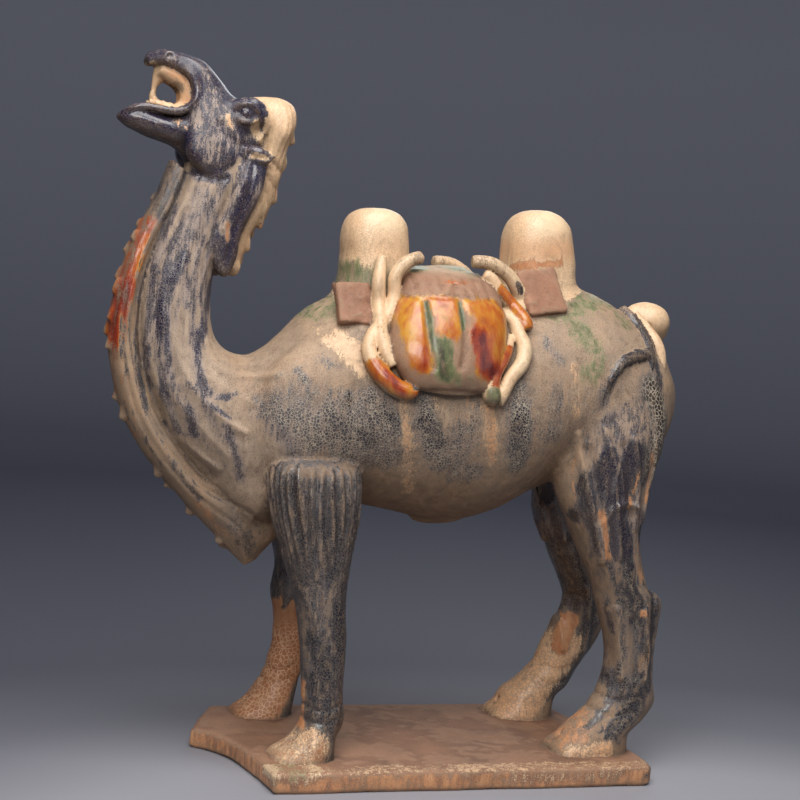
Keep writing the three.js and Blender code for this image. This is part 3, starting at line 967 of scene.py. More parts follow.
@dataclass(frozen=True)
class Head:
    """The raised, calling head with its open mouth."""

    skull: Rows = (
        (-160, 474, -172, 432, 15),
        (-174, 490, -202, 432, 24),
        (-187, 492, -221, 442, 26),
        (-196, 500, -228, 459, 22),
        (-204, 508.5, -224, 482, 19),
        (-213, 515.5, -227, 497, 17),
        (-225, 518.5, -237, 504, 16),
        (-236, 520, -244, 507, 15),
        (-247, 519.5, -250, 509, 10),
        (-254, 516, -255, 510.5, 5),
    )
    jaw: Rows = (
        (-204, 470, -208, 438, 17),
        (-222, 475, -229, 450, 17),
        (-234, 473, -236, 453, 15),
        (-247, 475, -248, 456, 14),
        (-258, 477, -257, 459, 12),
        (-267, 474, -266, 462.5, 8),
        (-273, 469.5, -272.5, 467, 3),
    )
    lip: Rows = (
        (-253, 5, 510.5, 2.8), (-246, 9, 512, 3.2), (-238, 12, 511, 3.2), (-230, 13.5, 507.5, 3.2),
        (-222, 15, 501.5, 3.8), (-218.5, 16, 492, 3.8), (-219.5, 16, 484, 3.6),
        (-225, 14.5, 478.5, 3), (-233, 13.5, 475.5, 2.8), (-243, 12.5, 476, 2.8),
        (-253, 11, 477, 2.8), (-263, 8, 475, 2.6), (-271, 3, 469.5, 2.2),
    )
    tongue: Rows = (
        (-220, 0, 474, 7), (-236, 0, 475, 6.5), (-244, 0, 480, 4), (-248, 0, 485, 2.6),
        (-247.5, 0, 490, 1.7), (-247, 0, 494, 2.2), (-244.5, 0, 499.5, 4.4), (-241, 0, 506, 7.5),
    )
    palate: Rows = (
        (-244, 5, 505.5, 4.5), (-236.5, 5.5, 502.5, 6), (-228.5, 6.5, 498, 6), (-224, 7, 491, 5.8),
        (-224.5, 7, 482, 5.4), (-232, 7, 476, 4.5),
    )
    cheek: Rows = (
        (-218, 471, -190, 474, 4, 18),
        (-225, 458, -184, 460, 9, 18),
        (-223, 444, -187, 444, 10, 18),
        (-214, 435, -194, 435, 8, 17),
        (-206, 431, -201, 431, 3, 16),
    )
    ear: Rows = ((-185, 20, 452, 3), (-178, 25, 450.5, 5.6), (-170, 28, 448.5, 6),
                 (-163.5, 28, 448.5, 3.6), (-160, 27, 449.5, 1.3))
    upper_lid: Rows = ((-192, 23, 480, 1.8), (-187.5, 27, 484.5, 2.2), (-181, 28, 485, 2.2),
                       (-175, 26, 480, 1.8))
    lower_lid: Rows = ((-191, 23, 477, 1.6), (-187, 26.5, 473, 1.9), (-180.5, 27, 472.6, 1.9),
                       (-175, 25, 476, 1.6))
    lower_teeth: Rows = ((-251, 5, 481, 2.4), (-243, 7, 480, 3.0), (-232, 9, 478, 3.2),
                         (-226, 10, 479, 2.6))
    brow: Rows = ((-182, 18, 479), (13.5, 9, 12))
    eyeball: Rows = ((-183.5, 25.5, 478.5), (4.6, 3.6, 4.6))
    nostril: Rows = ((-240, 12, 515), (4.5, 3.5, 3))

    def forms(self) -> list[Form]:
        """Models the head's lumps.

        Returns:
            The forms, in the order they are laid.
        """
        out = [
            loft(Part.HEAD, self.skull, fillet=3),
            loft(Part.HEAD, self.jaw, fillet=2.5),
            strand(Part.MOUTH, self.tongue, fillet=2.5),
        ]
        for side in BOTH:
            out += [
                loft(Part.HEAD, self.cheek, side, square=2.6, fillet=2),
                knob(Part.HEAD, *self.brow, side, fillet=4),
                strand(Part.MOUTH, self.palate, side, fillet=2),
                strand(Part.HEAD, self.lip, side, fillet=1.6),
                knob(Part.EYE, *self.eyeball, side, fillet=0.8),
                strand(Part.HEAD, self.upper_lid, side, fillet=1.4),
                strand(Part.HEAD, self.lower_lid, side, fillet=1.4),
                strand(Part.HEAD, self.ear, side, fillet=1.6, flat=0.8),
                knob(Part.HEAD, *self.nostril, side, fillet=2),
                strand(Part.MOUTH, self.lower_teeth, side, fillet=1.4),
            ]
        return out

    def lines(self) -> list[Line]:
        """Draws the lines of the mouth, cheeks, eyes and ears.

        Returns:
            The lines.
        """
        return [
            Line([(-229, 463), (-227.5, 455), (-226, 444), (-219, 435), (-207, 429), (-195, 430)],
                 2.2, 1.4, 8, sides=BOTH),
            Line([(-199, 473), (-194, 466), (-187, 459)], 2.2, -1.5, 12, sides=BOTH),
            Line([(-203, 470), (-199, 462), (-192, 455)], 2.0, 1.0, 12, sides=BOTH),
            Line([(-177, 491), (-169.5, 485), (-166.5, 476), (-167.5, 467), (-171, 461)], 2.4, -1.8,
                 12, sides=BOTH),
            Line([(-233, 514), (-222, 510), (-213, 501), (-208, 492)], 2.0, 0.9, 8, sides=BOTH),
            Line([(-180, 449.5), (-173, 447.5), (-167, 448)], 1.8, 2.0, 22, sides=BOTH),
            Line([(-239, 514.6), (-241.5, 514)], 1.3, 2.4, 8, sides=BOTH, smooth=False),
        ] + [Line([(x, 485), (x + 0.6, 479)], 0.8, 0.9, 2, sides=BOTH, smooth=False)
             for x in (-249, -244, -239, -234)]

    def washes(self) -> list[Wash]:
        """Brushes the head's blue, worn on the nose and cheeks, and the pale mouth.

        Returns:
            The strokes, in the order they are laid.
        """
        face = {"web": 0.06, "parts": (Part.HEAD, Part.EYE)}
        mouth = {"web": 0.06, "parts": (Part.MOUTH,), "high": 30}
        blue = [
            ([(-276, 466), (-150, 470)], 80, 0.72, 0.3),
            ([(-253, 516), (-236, 519), (-222, 512), (-218, 494), (-224, 480)], 4, 0.95, 0.7),
            ([(-276, 468), (-250, 468), (-228, 462)], 14, 0.96, 0.5),
            ([(-217, 466), (-205, 446)], 12, 0.5, 0.9),
            ([(-214, 506), (-206, 488), (-204, 476)], 6, 0.5, 0.9),
            ([(-206, 508), (-196, 496), (-188, 490)], 4, 0.9, 0.8),
            ([(-228, 462), (-224, 444), (-212, 434), (-196, 432)], 6, 1.0, 0.7),
            ([(-186, 478), (-180, 484), (-170, 480), (-168, 466)], 6, 0.95, 0.7),
            ([(-182, 455), (-170, 452)], 5, 0.9, 0.7),
        ]
        pale = [
            ([(-197, 475), (-195, 469)], 3.4, 0.7, 0.7, 0.5),
            ([(-176, 471), (-170, 462)], 6, 0.9, 0.7, 0.2),
            ([(-177, 448.5), (-168, 447.5)], 3.6, 0.9, 0.7, 0.3),
            ([(-158, 490), (-157, 476), (-158, 462), (-162, 455)], 8, 1.0, 0.7, 0.2),
            ([(-232, 468), (-227, 464)], 5, 0.5, 0.7, 0.9),
        ]
        inner_lip = [(-252, 505), (-240, 500), (-231, 490), (-231, 482), (-250, 480)]
        return [
            Wash(Glaze.SLIP, [(-276, 470), (-160, 470)], 80, 0.9, 0.2, parts=(Part.HEAD, Part.EYE)),
            *strokes(Glaze.COBALT, blue, **face),
            *strokes(Glaze.CREAM, pale, web=0.06, parts=(Part.HEAD,)),
            Wash(Glaze.CREAM, inner_lip, 8, 1.0, 0.7, 0.45, 0.06, parts=(Part.HEAD,), high=11),
            Wash(Glaze.CREAM, [(-250, 506), (-244, 482), (-228, 478)], 14, 1.0, 0.3, 0.35, **mouth),
            Wash(Glaze.CREAM, [(-238, 503), (-226, 497), (-224, 484)], 7, 1.0, 0.9, 0.9, **mouth),
        ]


@dataclass(frozen=True)
class Hair:
    """The tuft over the brow and nape, and the lobe of hair that hangs behind each cheek."""

    crest: Rows = (
        (-174, 494, -186, 488, 11),
        (-156, 495, -175, 476, 20),
        (-144, 490, -169, 466, 24.5),
        (-141, 477, -168, 456, 25),
        (-146, 458, -170, 448, 22),
        (-149, 436, -175, 430, 18),
        (-156, 411, -182, 408, 15),
        (-166, 396, -189, 393, 13),
        (-173, 376, -190, 374, 10),
        (-180, 361, -188, 362, 4),
    )
    lobe: Rows = (
        (-163, 452, -181, 450, 6, 21),
        (-165, 438, -186, 436, 8, 22),
        (-167, 425, -188, 421, 9, 21),
        (-171, 413, -191, 408, 9, 19),
        (-176, 401, -197, 397, 9, 17),
        (-180, 388, -201, 385, 9, 16),
        (-181, 375, -200, 373, 8, 15),
        (-184, 365, -195, 364, 6, 14),
        (-187, 360, -191, 360, 2, 14),
    )
    lock_radius: float = 5.0

    def forms(self) -> list[Form]:
        """Models the tuft with its pointed locks, and the two lobes.

        Returns:
            The forms, in the order they are laid.
        """
        out = [loft(Part.TUFT, self.crest, square=2.2, fillet=2.5)]
        chance = np.random.default_rng(8)
        for i, (x, z, *_) in enumerate(smooth_rows(self.crest, 2)[7:-1]):
            off = 4.5 if i % 2 else -4.5
            radius = self.lock_radius * chance.uniform(0.7, 1.1)
            out.append(strand(Part.TUFT, [
                (x - 7, off, z + 6, radius), (x - 2.5, off, z, radius),
                (x + chance.uniform(-2, 1.6), off, z - 6, 1.8)], fillet=3, sides=12))
        for side in BOTH:
            out.append(loft(Part.LOBE, self.lobe, side, square=2.4, fillet=2))
        return out

    def lines(self) -> list[Line]:
        """Draws the grooves between the locks.

        Returns:
            The lines.
        """
        front = [(-186, 446), (-188, 428), (-190, 410), (-195, 394)]
        middle = [(-176, 446), (-178, 428), (-181, 410), (-187, 392), (-190, 372)]
        combed = [
            [(-166 + 4.4 * n, 492 - n), (-163 + 4.2 * n, 474), (-168 + 4.2 * n, 456),
             (-172 + 4 * n, 440)]
            for n in range(5)
        ]
        nape = [[(-163, 448 - 12 * n), (-152 - 4 * n, 440 - 12 * n)] for n in range(5)]
        return [
            Line(front, 2.2, -1.6, 10, sides=BOTH),
            Line(middle, 1.6, 1.6, 10, sides=BOTH),
            *[Line(path, 1.3, 1.0, 8, sides=BOTH) for path in combed],
            *[Line(path, 1.5, 1.0, 3, sides=BOTH, smooth=False) for path in nape],
        ]

    def washes(self) -> list[Wash]:
        """Brushes the cream tuft and the blue lobes.

        Returns:
            The strokes, in the order they are laid.
        """
        tuft, lobe = {"parts": (Part.TUFT,)}, {"parts": (Part.LOBE,)}
        whole = [(-176, 450), (-192, 360)]
        return [
            Wash(Glaze.CREAM, [(-176, 500), (-150, 470), (-180, 360)], 60, heat=0.25, web=0.6,
                 **tuft),
            Wash(Glaze.SLIP, whole, 40, high=60, **lobe),
            Wash(Glaze.COBALT, whole, 40, 0.66, web=0.1, high=60, **lobe),
            Wash(Glaze.COBALT, [(-176, 440), (-182, 410), (-188, 372)], 7, 0.95, 0.7, web=0.1,
                 **lobe),
            Wash(Glaze.COBALT, [(-187, 436), (-191, 410), (-197, 392)], 4, 0.45, 0.9, web=0.1,
                 **lobe),
            Wash(Glaze.HONEY, [(-192, 398), (-191, 386)], 4, 0.7, 0.9, **lobe),
            Wash(Glaze.HONEY, [(-146, 452), (-152, 424), (-166, 392)], 8, 0.4, 0.9, **tuft),
            Wash(Glaze.COBALT, [(-172, 476), (-170, 464)], 3, 0.7, 0.7, web=0.1, **tuft),
        ]


@dataclass(frozen=True)
class Humps:
    """The two upright humps with flattened tops."""

    front: Rows = (
        (-118, 324, -16, 330, 46),
        (-99, 354, -36, 356, 32),
        (-95, 380, -43, 383, 28),
        (-96, 397, -44, 399, 26.5),
        (-94.5, 408, -46, 409, 24.5),
        (-90, 416, -52, 417, 20),
        (-83, 420, -60, 420.5, 13),
        (-76, 421, -67, 421.5, 5),
    )
    rear: Rows = (
        (18, 338, 126, 344, 46),
        (38, 364, 99, 372, 32),
        (38, 391, 96, 395, 28),
        (38, 407, 93, 409, 26.5),
        (40, 418, 90, 420, 24),
        (45, 426, 83, 427.5, 19),
        (53, 430.5, 75, 431, 12),
        (60, 431.5, 68, 431.8, 5),
    )

    def forms(self) -> list[Form]:
        """Returns the humps' lumps."""
        return [loft(Part.HUMP, rows, square=2.4, fillet=7) for rows in (self.front, self.rear)]

    def washes(self) -> list[Wash]:
        """Brushes the cream humps with green at the foot of the front one.

        Returns:
            The strokes, in the order they are laid.
        """
        hump = {"parts": (Part.HUMP,)}
        sides = [([(-70, 430), (-70, 380)], 46), ([(68, 440), (70, 396)], 46)]
        tops = [([(-70, 430), (-70, 416)], 24), ([(68, 440), (68, 424)], 24)]
        return [
            *strokes(Glaze.CREAM, sides, soft=0.3, heat=0.15, web=0.85, **hump),
            *strokes(Glaze.CREAM, tops, soft=0.9, web=0.1, **hump),
            Wash(Glaze.SLIP, [(-100, 360), (-50, 356)], 16, 0.6, 0.9, **hump),
            Wash(Glaze.GREEN, [(-104, 370), (-54, 364)], 17, 0.5, 0.9, **hump),
            Wash(Glaze.GREEN, [(-92, 376), (-84, 370)], 8, 0.6, 0.9, **hump),
            Wash(Glaze.AMBER, [(56, 416), (60, 406)], 5, 0.3, 0.9, **hump),
            Wash(Glaze.CREAM, [(44, 398), (80, 402)], 16, 1.0, 0.9, heat=0.6, web=0.8, **hump),
            Wash(Glaze.HONEY, [(42, 386), (74, 392)], 5, 0.95, 0.9, **hump),
        ]


@dataclass(frozen=True)
class Legs:
    """The four legs with the fluted hair on the forearms and broad two-toed feet.

    The radii of the pad and the toes are shares of the foot's half width.
    """

    near_fore: Rows = (
        (-145, 240, -92, 242, 14, 34),
        (-150, 214, -84, 216, 25, 44),
        (-139, 168, -88, 170, 22, 50),
        (-128, 129, -90, 129, 19, 55),
        (-123, 100, -88, 100, 17, 58),
        (-120, 71, -89, 71, 16, 61),
        (-119, 47, -89, 47, 16, 63),
        (-122, 36, -92, 34, 18, 63),
        (-130, 25, -93, 25, 21, 63),
        (-137, 16, -93, 16, 23, 63),
        (-137, 10, -93, 10, 23, 63),
    )
    far_fore: Rows = (
        (-138, 240, -88, 242, 14, 34),
        (-137, 208, -76, 210, 25, 44),
        (-120, 165, -66, 167, 22, 50),
        (-113, 138, -69, 139, 20, 54),
        (-114, 116, -72, 116, 19, 58),
        (-109, 91, -74, 91, 17, 62),
        (-109, 66, -78, 64, 16, 65),
        (-116, 44, -84, 43, 17, 67),
        (-128, 26, -88, 24, 21, 66),
        (-133, 16, -89, 15, 23, 66),
        (-133, 10, -89, 10, 23, 66),
    )
    near_hind: Rows = (
        (98, 318, 166, 322, 20, 30),
        (80, 280, 170, 284, 34, 34),
        (76, 250, 168, 254, 35, 38),
        (81, 212, 156, 215, 30, 44),
        (96, 180, 150, 182, 25, 48),
        (112, 148, 158, 149, 20, 51),
        (117, 132, 172, 134, 19, 52),
        (123, 116, 172, 117, 18, 53),
        (129, 92, 169, 92, 17, 54),
        (126, 69, 169, 70, 17, 55),
        (118, 54, 172, 54, 17, 56),
        (110, 44, 164, 41, 19, 56),
        (95, 30, 151, 30, 23, 56),
        (89, 17, 150, 17, 25, 56),
        (89, 10, 150, 10, 25, 56),
    )
    far_hind: Rows = (
        (98, 318, 166, 322, 20, 30),
        (84, 280, 172, 284, 34, 34),
        (88, 250, 168, 254, 34, 37),
        (99, 214, 158, 217, 30, 41),
        (107, 181, 160, 183, 25, 43),
        (118, 156, 163, 154, 21, 45),
        (129, 138, 168, 135, 19, 47),
        (137, 120, 177, 116, 17, 49),
        (136, 101, 178, 96, 16, 51),
        (125, 79, 170, 76, 17, 53),
        (118, 60, 158, 58, 18, 55),
        (104, 45, 149, 41, 20, 56),
        (91, 34, 140, 32, 23, 57),
        (85, 17, 137, 17, 25, 57),
        (85, 10, 137, 10, 25, 57),
    )
    sleeve: Rows = (
        (-136, 234, -96, 234, 11, 41),
        (-147, 229, -87, 229, 24, 43),
        (-152, 222, -83, 223, 28.5, 44),
        (-152, 206, -82, 208, 29, 46),
        (-147, 186, -83, 188, 27, 48),
        (-140, 166, -87, 168, 24, 50),
        (-132, 146, -90, 147, 19, 52),
    )
    flutes: int = 30
    flute_depth: float = 0.05
    far_shift: float = 10.0
    sleeve_slant: float = 0.15
    near_fetlock: Rows = ((-95, 61, 44), (8, 11, 13))
    far_fetlock: Rows = ((-81, 66, 64), (7, 9, 9))
    pad_radii: Sequence[float] = (0.8, 0.96, 0.44)
    toe_radii: Sequence[float] = (0.38, 0.44, 0.3)

    def flute(self, angle: np.ndarray, along: np.ndarray) -> np.ndarray:
        """Works out the swell of the forearm's flutes.

        Args:
            angle: the angle around the leg.
            along: the share of its length.

        Returns:
            The swell as a share of the radius.
        """
        uneven = 1.4 * np.sin(3 * angle) + 1.1 * np.sin(7 * angle + 5 * along)
        wave = np.cos(angle * self.flutes + uneven) * np.clip(4 * along - 0.5, 0, 1)
        return self.flute_depth * (wave - 0.5) * np.clip(5 - 4.6 * along, 0, 1)

    def forms(self) -> list[Form]:
        """Models the legs' lumps.

        Returns:
            The forms, in the order they are laid.
        """
        out = []
        for side, fore, hind in ((Side.NEAR, self.near_fore, self.near_hind),
                                 (Side.FAR, self.far_fore, self.far_hind)):
            sleeve = []
            for i, (ax, az, bx, bz, half, off) in enumerate(self.sleeve):
                shift = self.far_shift * (1 + self.sleeve_slant * i) if side is Side.FAR else 0.0
                sleeve.append((ax + shift, az, bx + shift, bz, half, off))
            out += [
                loft(Part.FORELEG, fore, side, fillet=6),
                loft(Part.FORELEG, sleeve, side, square=2.3, fillet=5, sides=240, carve=self.flute),
                loft(Part.HIND_LEG, hind, side, fillet=7),
                *self.toes(fore[-2], side),
                *self.toes(hind[-2], side),
            ]
        out.append(knob(Part.FORELEG, *self.near_fetlock, Side.NEAR, fillet=5))
        out.append(knob(Part.FORELEG, *self.far_fetlock, Side.FAR, fillet=5))
        return out

    def toes(self, sole: Sequence[float], side: Side) -> list[Form]:
        """Returns a foot's broad pad, its two toes and the cleft between them.

        Args:
            sole: the leg's section where the toes are.
            side: the side that the leg is on.

        Returns:
            The lumps, and the cleft that is cut.
        """
        front, height, _, _, half, off = sole
        pad, toe = ([half * share for share in radii] for radii in (self.pad_radii, self.toe_radii))
        cleft = [(front - 5, off, height + 6, 1.6),
                 (front + half * 0.4, off, height + half * 0.5, 1.0),
                 (front + half * 0.7, off, height + half * 0.7, 0.6)]
        return [
            knob(Part.FOOT, (front + half * 0.7, off, height - 1), pad, side, fillet=7),
            *[knob(Part.FOOT, (front + half * 0.24, off + apart * toe[1], height - 3), toe, side,
                   fillet=6) for apart in (-1, 1)],
            strand(Part.FOOT, cleft, side, fillet=3, cut=True),
        ]

    def lines(self) -> list[Line]:
        """Draws the tendons, veins and hollows of the hind legs and the folds at the feet.

        Returns:
            The lines.
        """
        veins = [
            [(84, 262), (90, 236), (98, 208), (106, 184), (112, 164)],
            [(104, 268), (112, 240), (116, 214), (121, 190), (124, 168)],
            [(128, 262), (134, 236), (136, 212), (138, 192)],
            [(150, 262), (152, 238), (147, 214), (145, 196)],
            [(108, 196), (114, 206), (124, 211), (138, 208)],
            [(128, 128), (131, 110), (134, 92), (136, 74)],
            [(151, 128), (155, 110), (157, 92), (156, 74)],
        ]
        hollows = [
            [(94, 250), (101, 224), (107, 198)],
            [(120, 254), (126, 226), (130, 202)],
            [(160, 146), (160, 128), (163, 104)],
            [(143, 120), (145, 98), (147, 78)],
        ]
        folds = [
            [(121, 60), (134, 57), (150, 62)],
            [(114, 50), (128, 45), (146, 49)],
            [(-121, 56), (-108, 52), (-94, 56)],
            [(-122, 47), (-108, 43), (-95, 47)],
        ]
        return [
            *[Line(path, 2.3, -2.1, 24, sides=BOTH) for path in veins],
            *[Line(path, 4.0, 2.2, 24, sides=BOTH) for path in hollows],
            *[Line(path, 1.6, 0.9, 36, sides=BOTH) for path in folds],
            Line([(-128, 140), (-118, 118), (-114, 92), (-112, 62)], 3.0, -1.0, 40, sides=BOTH),
        ]

    def washes(self) -> list[Wash]:
        """Brushes the blue down the legs, the honey runs and the cream feet.

        Returns:
            The strokes, in the order they are laid.
        """
        cobalt, cream, honey = Glaze.COBALT, Glaze.CREAM, Glaze.HONEY
        fore, hind, foot = (Part.FORELEG,), (Part.HIND_LEG,), (Part.FOOT,)
        near, far = (Side.NEAR,), (Side.FAR,)
        on_fore, on_hind = {"web": 0.2, "parts": fore}, {"web": 0.15, "parts": hind}
        fore_rows, hind_rows = self.near_fore[:-3], self.near_hind[:-2]
        front_blue = [
            ([(-114, 240), (-114, 160)], 46, 0.76, 0.3, BOTH),
            ([(-110, 150), (-104, 60), (-102, 34)], 44, 0.74, 0.5, BOTH),
            ([(-92, 140), (-94, 60)], 12, 0.9, 0.7, near),
            ([(-112, 92), (-104, 40)], 13, 0.92, 0.7, near),
            ([(-122, 128), (-118, 84)], 8, 0.46, 0.9, near),
            ([(-108, 190), (-106, 166)], 9, 0.9, 0.8, near),
            ([(-130, 200), (-124, 170)], 6, 0.84, 0.8, near),
            ([(-140, 224), (-96, 228)], 8, 0.25, 0.8, BOTH),
            ([(-104, 170), (-100, 124)], 28, 0.9, 0.4, far),
            ([(-84, 84), (-82, 56)], 7, 0.9, 0.6, far),
        ]
        front_pale = [
            (honey, [(-104, 98), (-98, 82)], 20, 1.0, 0.5, 0.1, far),
            (honey, [(-98, 70), (-112, 40), (-130, 14)], 28, 1.0, 0.5, 1.0, far),
            (cobalt, [(-104, 122), (-105, 104)], 3, 1.0, 0.0, 0.1, far),
            (honey, [(-122, 72), (-121, 38)], 4, 0.8, 0.0, 0.1, near),
            (cream, [(-140, 14), (-114, 26)], 17, 0.84, 0.7, 1.0, near),
            (honey, [(-140, 16), (-112, 22)], 17, 0.4, 0.35, 1.0, near),
        ]
        hind_blue = [
            ([(120, 300), (118, 240), (126, 180), (150, 130), (154, 70)], 42, 0.4, 0.6, BOTH),
            ([(98, 296), (106, 274)], 9, 0.75, 0.8, BOTH),
            ([(108, 246), (98, 212), (94, 200)], 10, 1.0, 0.6, BOTH),
            ([(92, 232), (90, 218)], 6, 0.85, 0.8, BOTH),
            ([(130, 250), (126, 230), (118, 208)], 12, 1.0, 0.5, BOTH),
            ([(142, 226), (146, 246)], 5, 0.8, 0.7, BOTH),
            ([(114, 200), (112, 178)], 6, 0.95, 0.7, BOTH),
            ([(118, 192), (128, 176)], 13, 1.0, 0.5, BOTH),
            ([(148, 204), (146, 184)], 6, 0.8, 0.8, BOTH),
            ([(136, 160), (140, 124)], 9, 0.88, 0.7, near),
            ([(163, 146), (160, 112)], 6, 0.95, 0.6, near),
            ([(152, 148), (152, 100)], 6, 0.75, 0.8, near),
            ([(130, 74), (146, 48)], 10, 0.72, 0.8, near),
            ([(154, 62), (150, 40)], 9, 0.8, 0.8, near),
            ([(126, 34), (134, 26)], 6, 0.6, 0.9, near),
            ([(120, 204), (134, 130)], 34, 0.88, 0.5, far),
            ([(158, 96), (150, 66)], 10, 0.8, 0.5, far),
        ]
        hind_pale = [
            (honey, [(106, 204), (110, 190), (115, 168)], 3.6, 0.7, 0.1, 0.1, near),
            (honey, [(149, 126), (149, 124)], 4, 0.8, 0.1, 0.1, near),
            (honey, [(158, 100), (152, 84)], 6, 0.4, 0.1, 0.1, near),
            (honey, [(134, 236), (128, 208)], 3, 0.6, 0.1, 0.1, near),
            (honey, [(148, 250), (146, 212)], 3.5, 0.5, 0.1, 0.1, near),
            (honey, [(104, 48), (96, 22)], 16, 0.5, 0.2, 0.3, near),
            (cream, [(96, 14), (122, 20)], 11, 0.7, 0.6, 0.9, near),
            (cream, [(138, 76), (122, 56), (98, 20)], 22, 0.85, 0.6, 0.8, far),
            (cream, [(110, 42), (96, 16)], 24, 0.8, 0.7, 0.9, far),
            (honey, [(142, 98), (134, 76)], 10, 1.0, 0.12, 0.1, far),
        ]
        buttock = [(146, 300), (156, 276), (152, 240)]
        gaskin = [(118, 200), (136, 130), (146, 60)]
        shin = [(-114, 226), (-108, 120), (-104, 30)]
        return [
            Wash(Glaze.SOOT, gaskin, 50, 0.6, 0.5, parts=hind),
            Wash(Glaze.SLIP, [(118, 262), (122, 214), (124, 184)], 34, 0.4, 0.7, parts=hind),
            Wash(Glaze.SOOT, shin, 40, 0.75, 0.3, web=0.15, parts=fore),
            Wash(Glaze.SOOT, [(90, 20), (150, 14)], 40, 0.4, 0.3, parts=foot + hind),
            *[Wash(cobalt, path, width, share, soft, sides=sides, **on_fore)
              for path, width, share, soft, sides in front_blue],
            *trickles(cobalt, fore_rows, 41, 16, 7, (1.6, 0.4, 4), share=0.92, soft=0.9, **on_fore),
            *trickles(honey, fore_rows, 42, 9, 7, (1.6, 0, 1), share=0.3, soft=0.9, **on_fore),
            *[Wash(glaze, path, width, share, 0.6, heat, web, True, sides, fore + foot)
              for glaze, path, width, share, heat, web, sides in front_pale],
            *[Wash(cobalt, path, width, share, soft, sides=sides, **on_hind)
              for path, width, share, soft, sides in hind_blue],
            *trickles(cobalt, hind_rows, 43, 34, 8, (1.8, 0.5, 5), share=0.92, soft=0.8, **on_hind),
            *trickles(cobalt, hind_rows[4:], 45, 24, 6, (1.6, 0, 1), share=0.9, soft=0.8, web=0.5,
                      parts=hind),
            *trickles(honey, hind_rows, 44, 20, 8, (1.5, 0.4, 3), share=0.42, soft=0.9, **on_hind),
            Wash(cobalt, buttock, 20, 0.86, 0.9, web=0.9, coarse=True, parts=hind + (Part.HIDE,)),
            *[Wash(glaze, path, width, share, 0.6, heat, web, True, sides, hind + foot)
              for glaze, path, width, share, heat, web, sides in hind_pale],
        ]


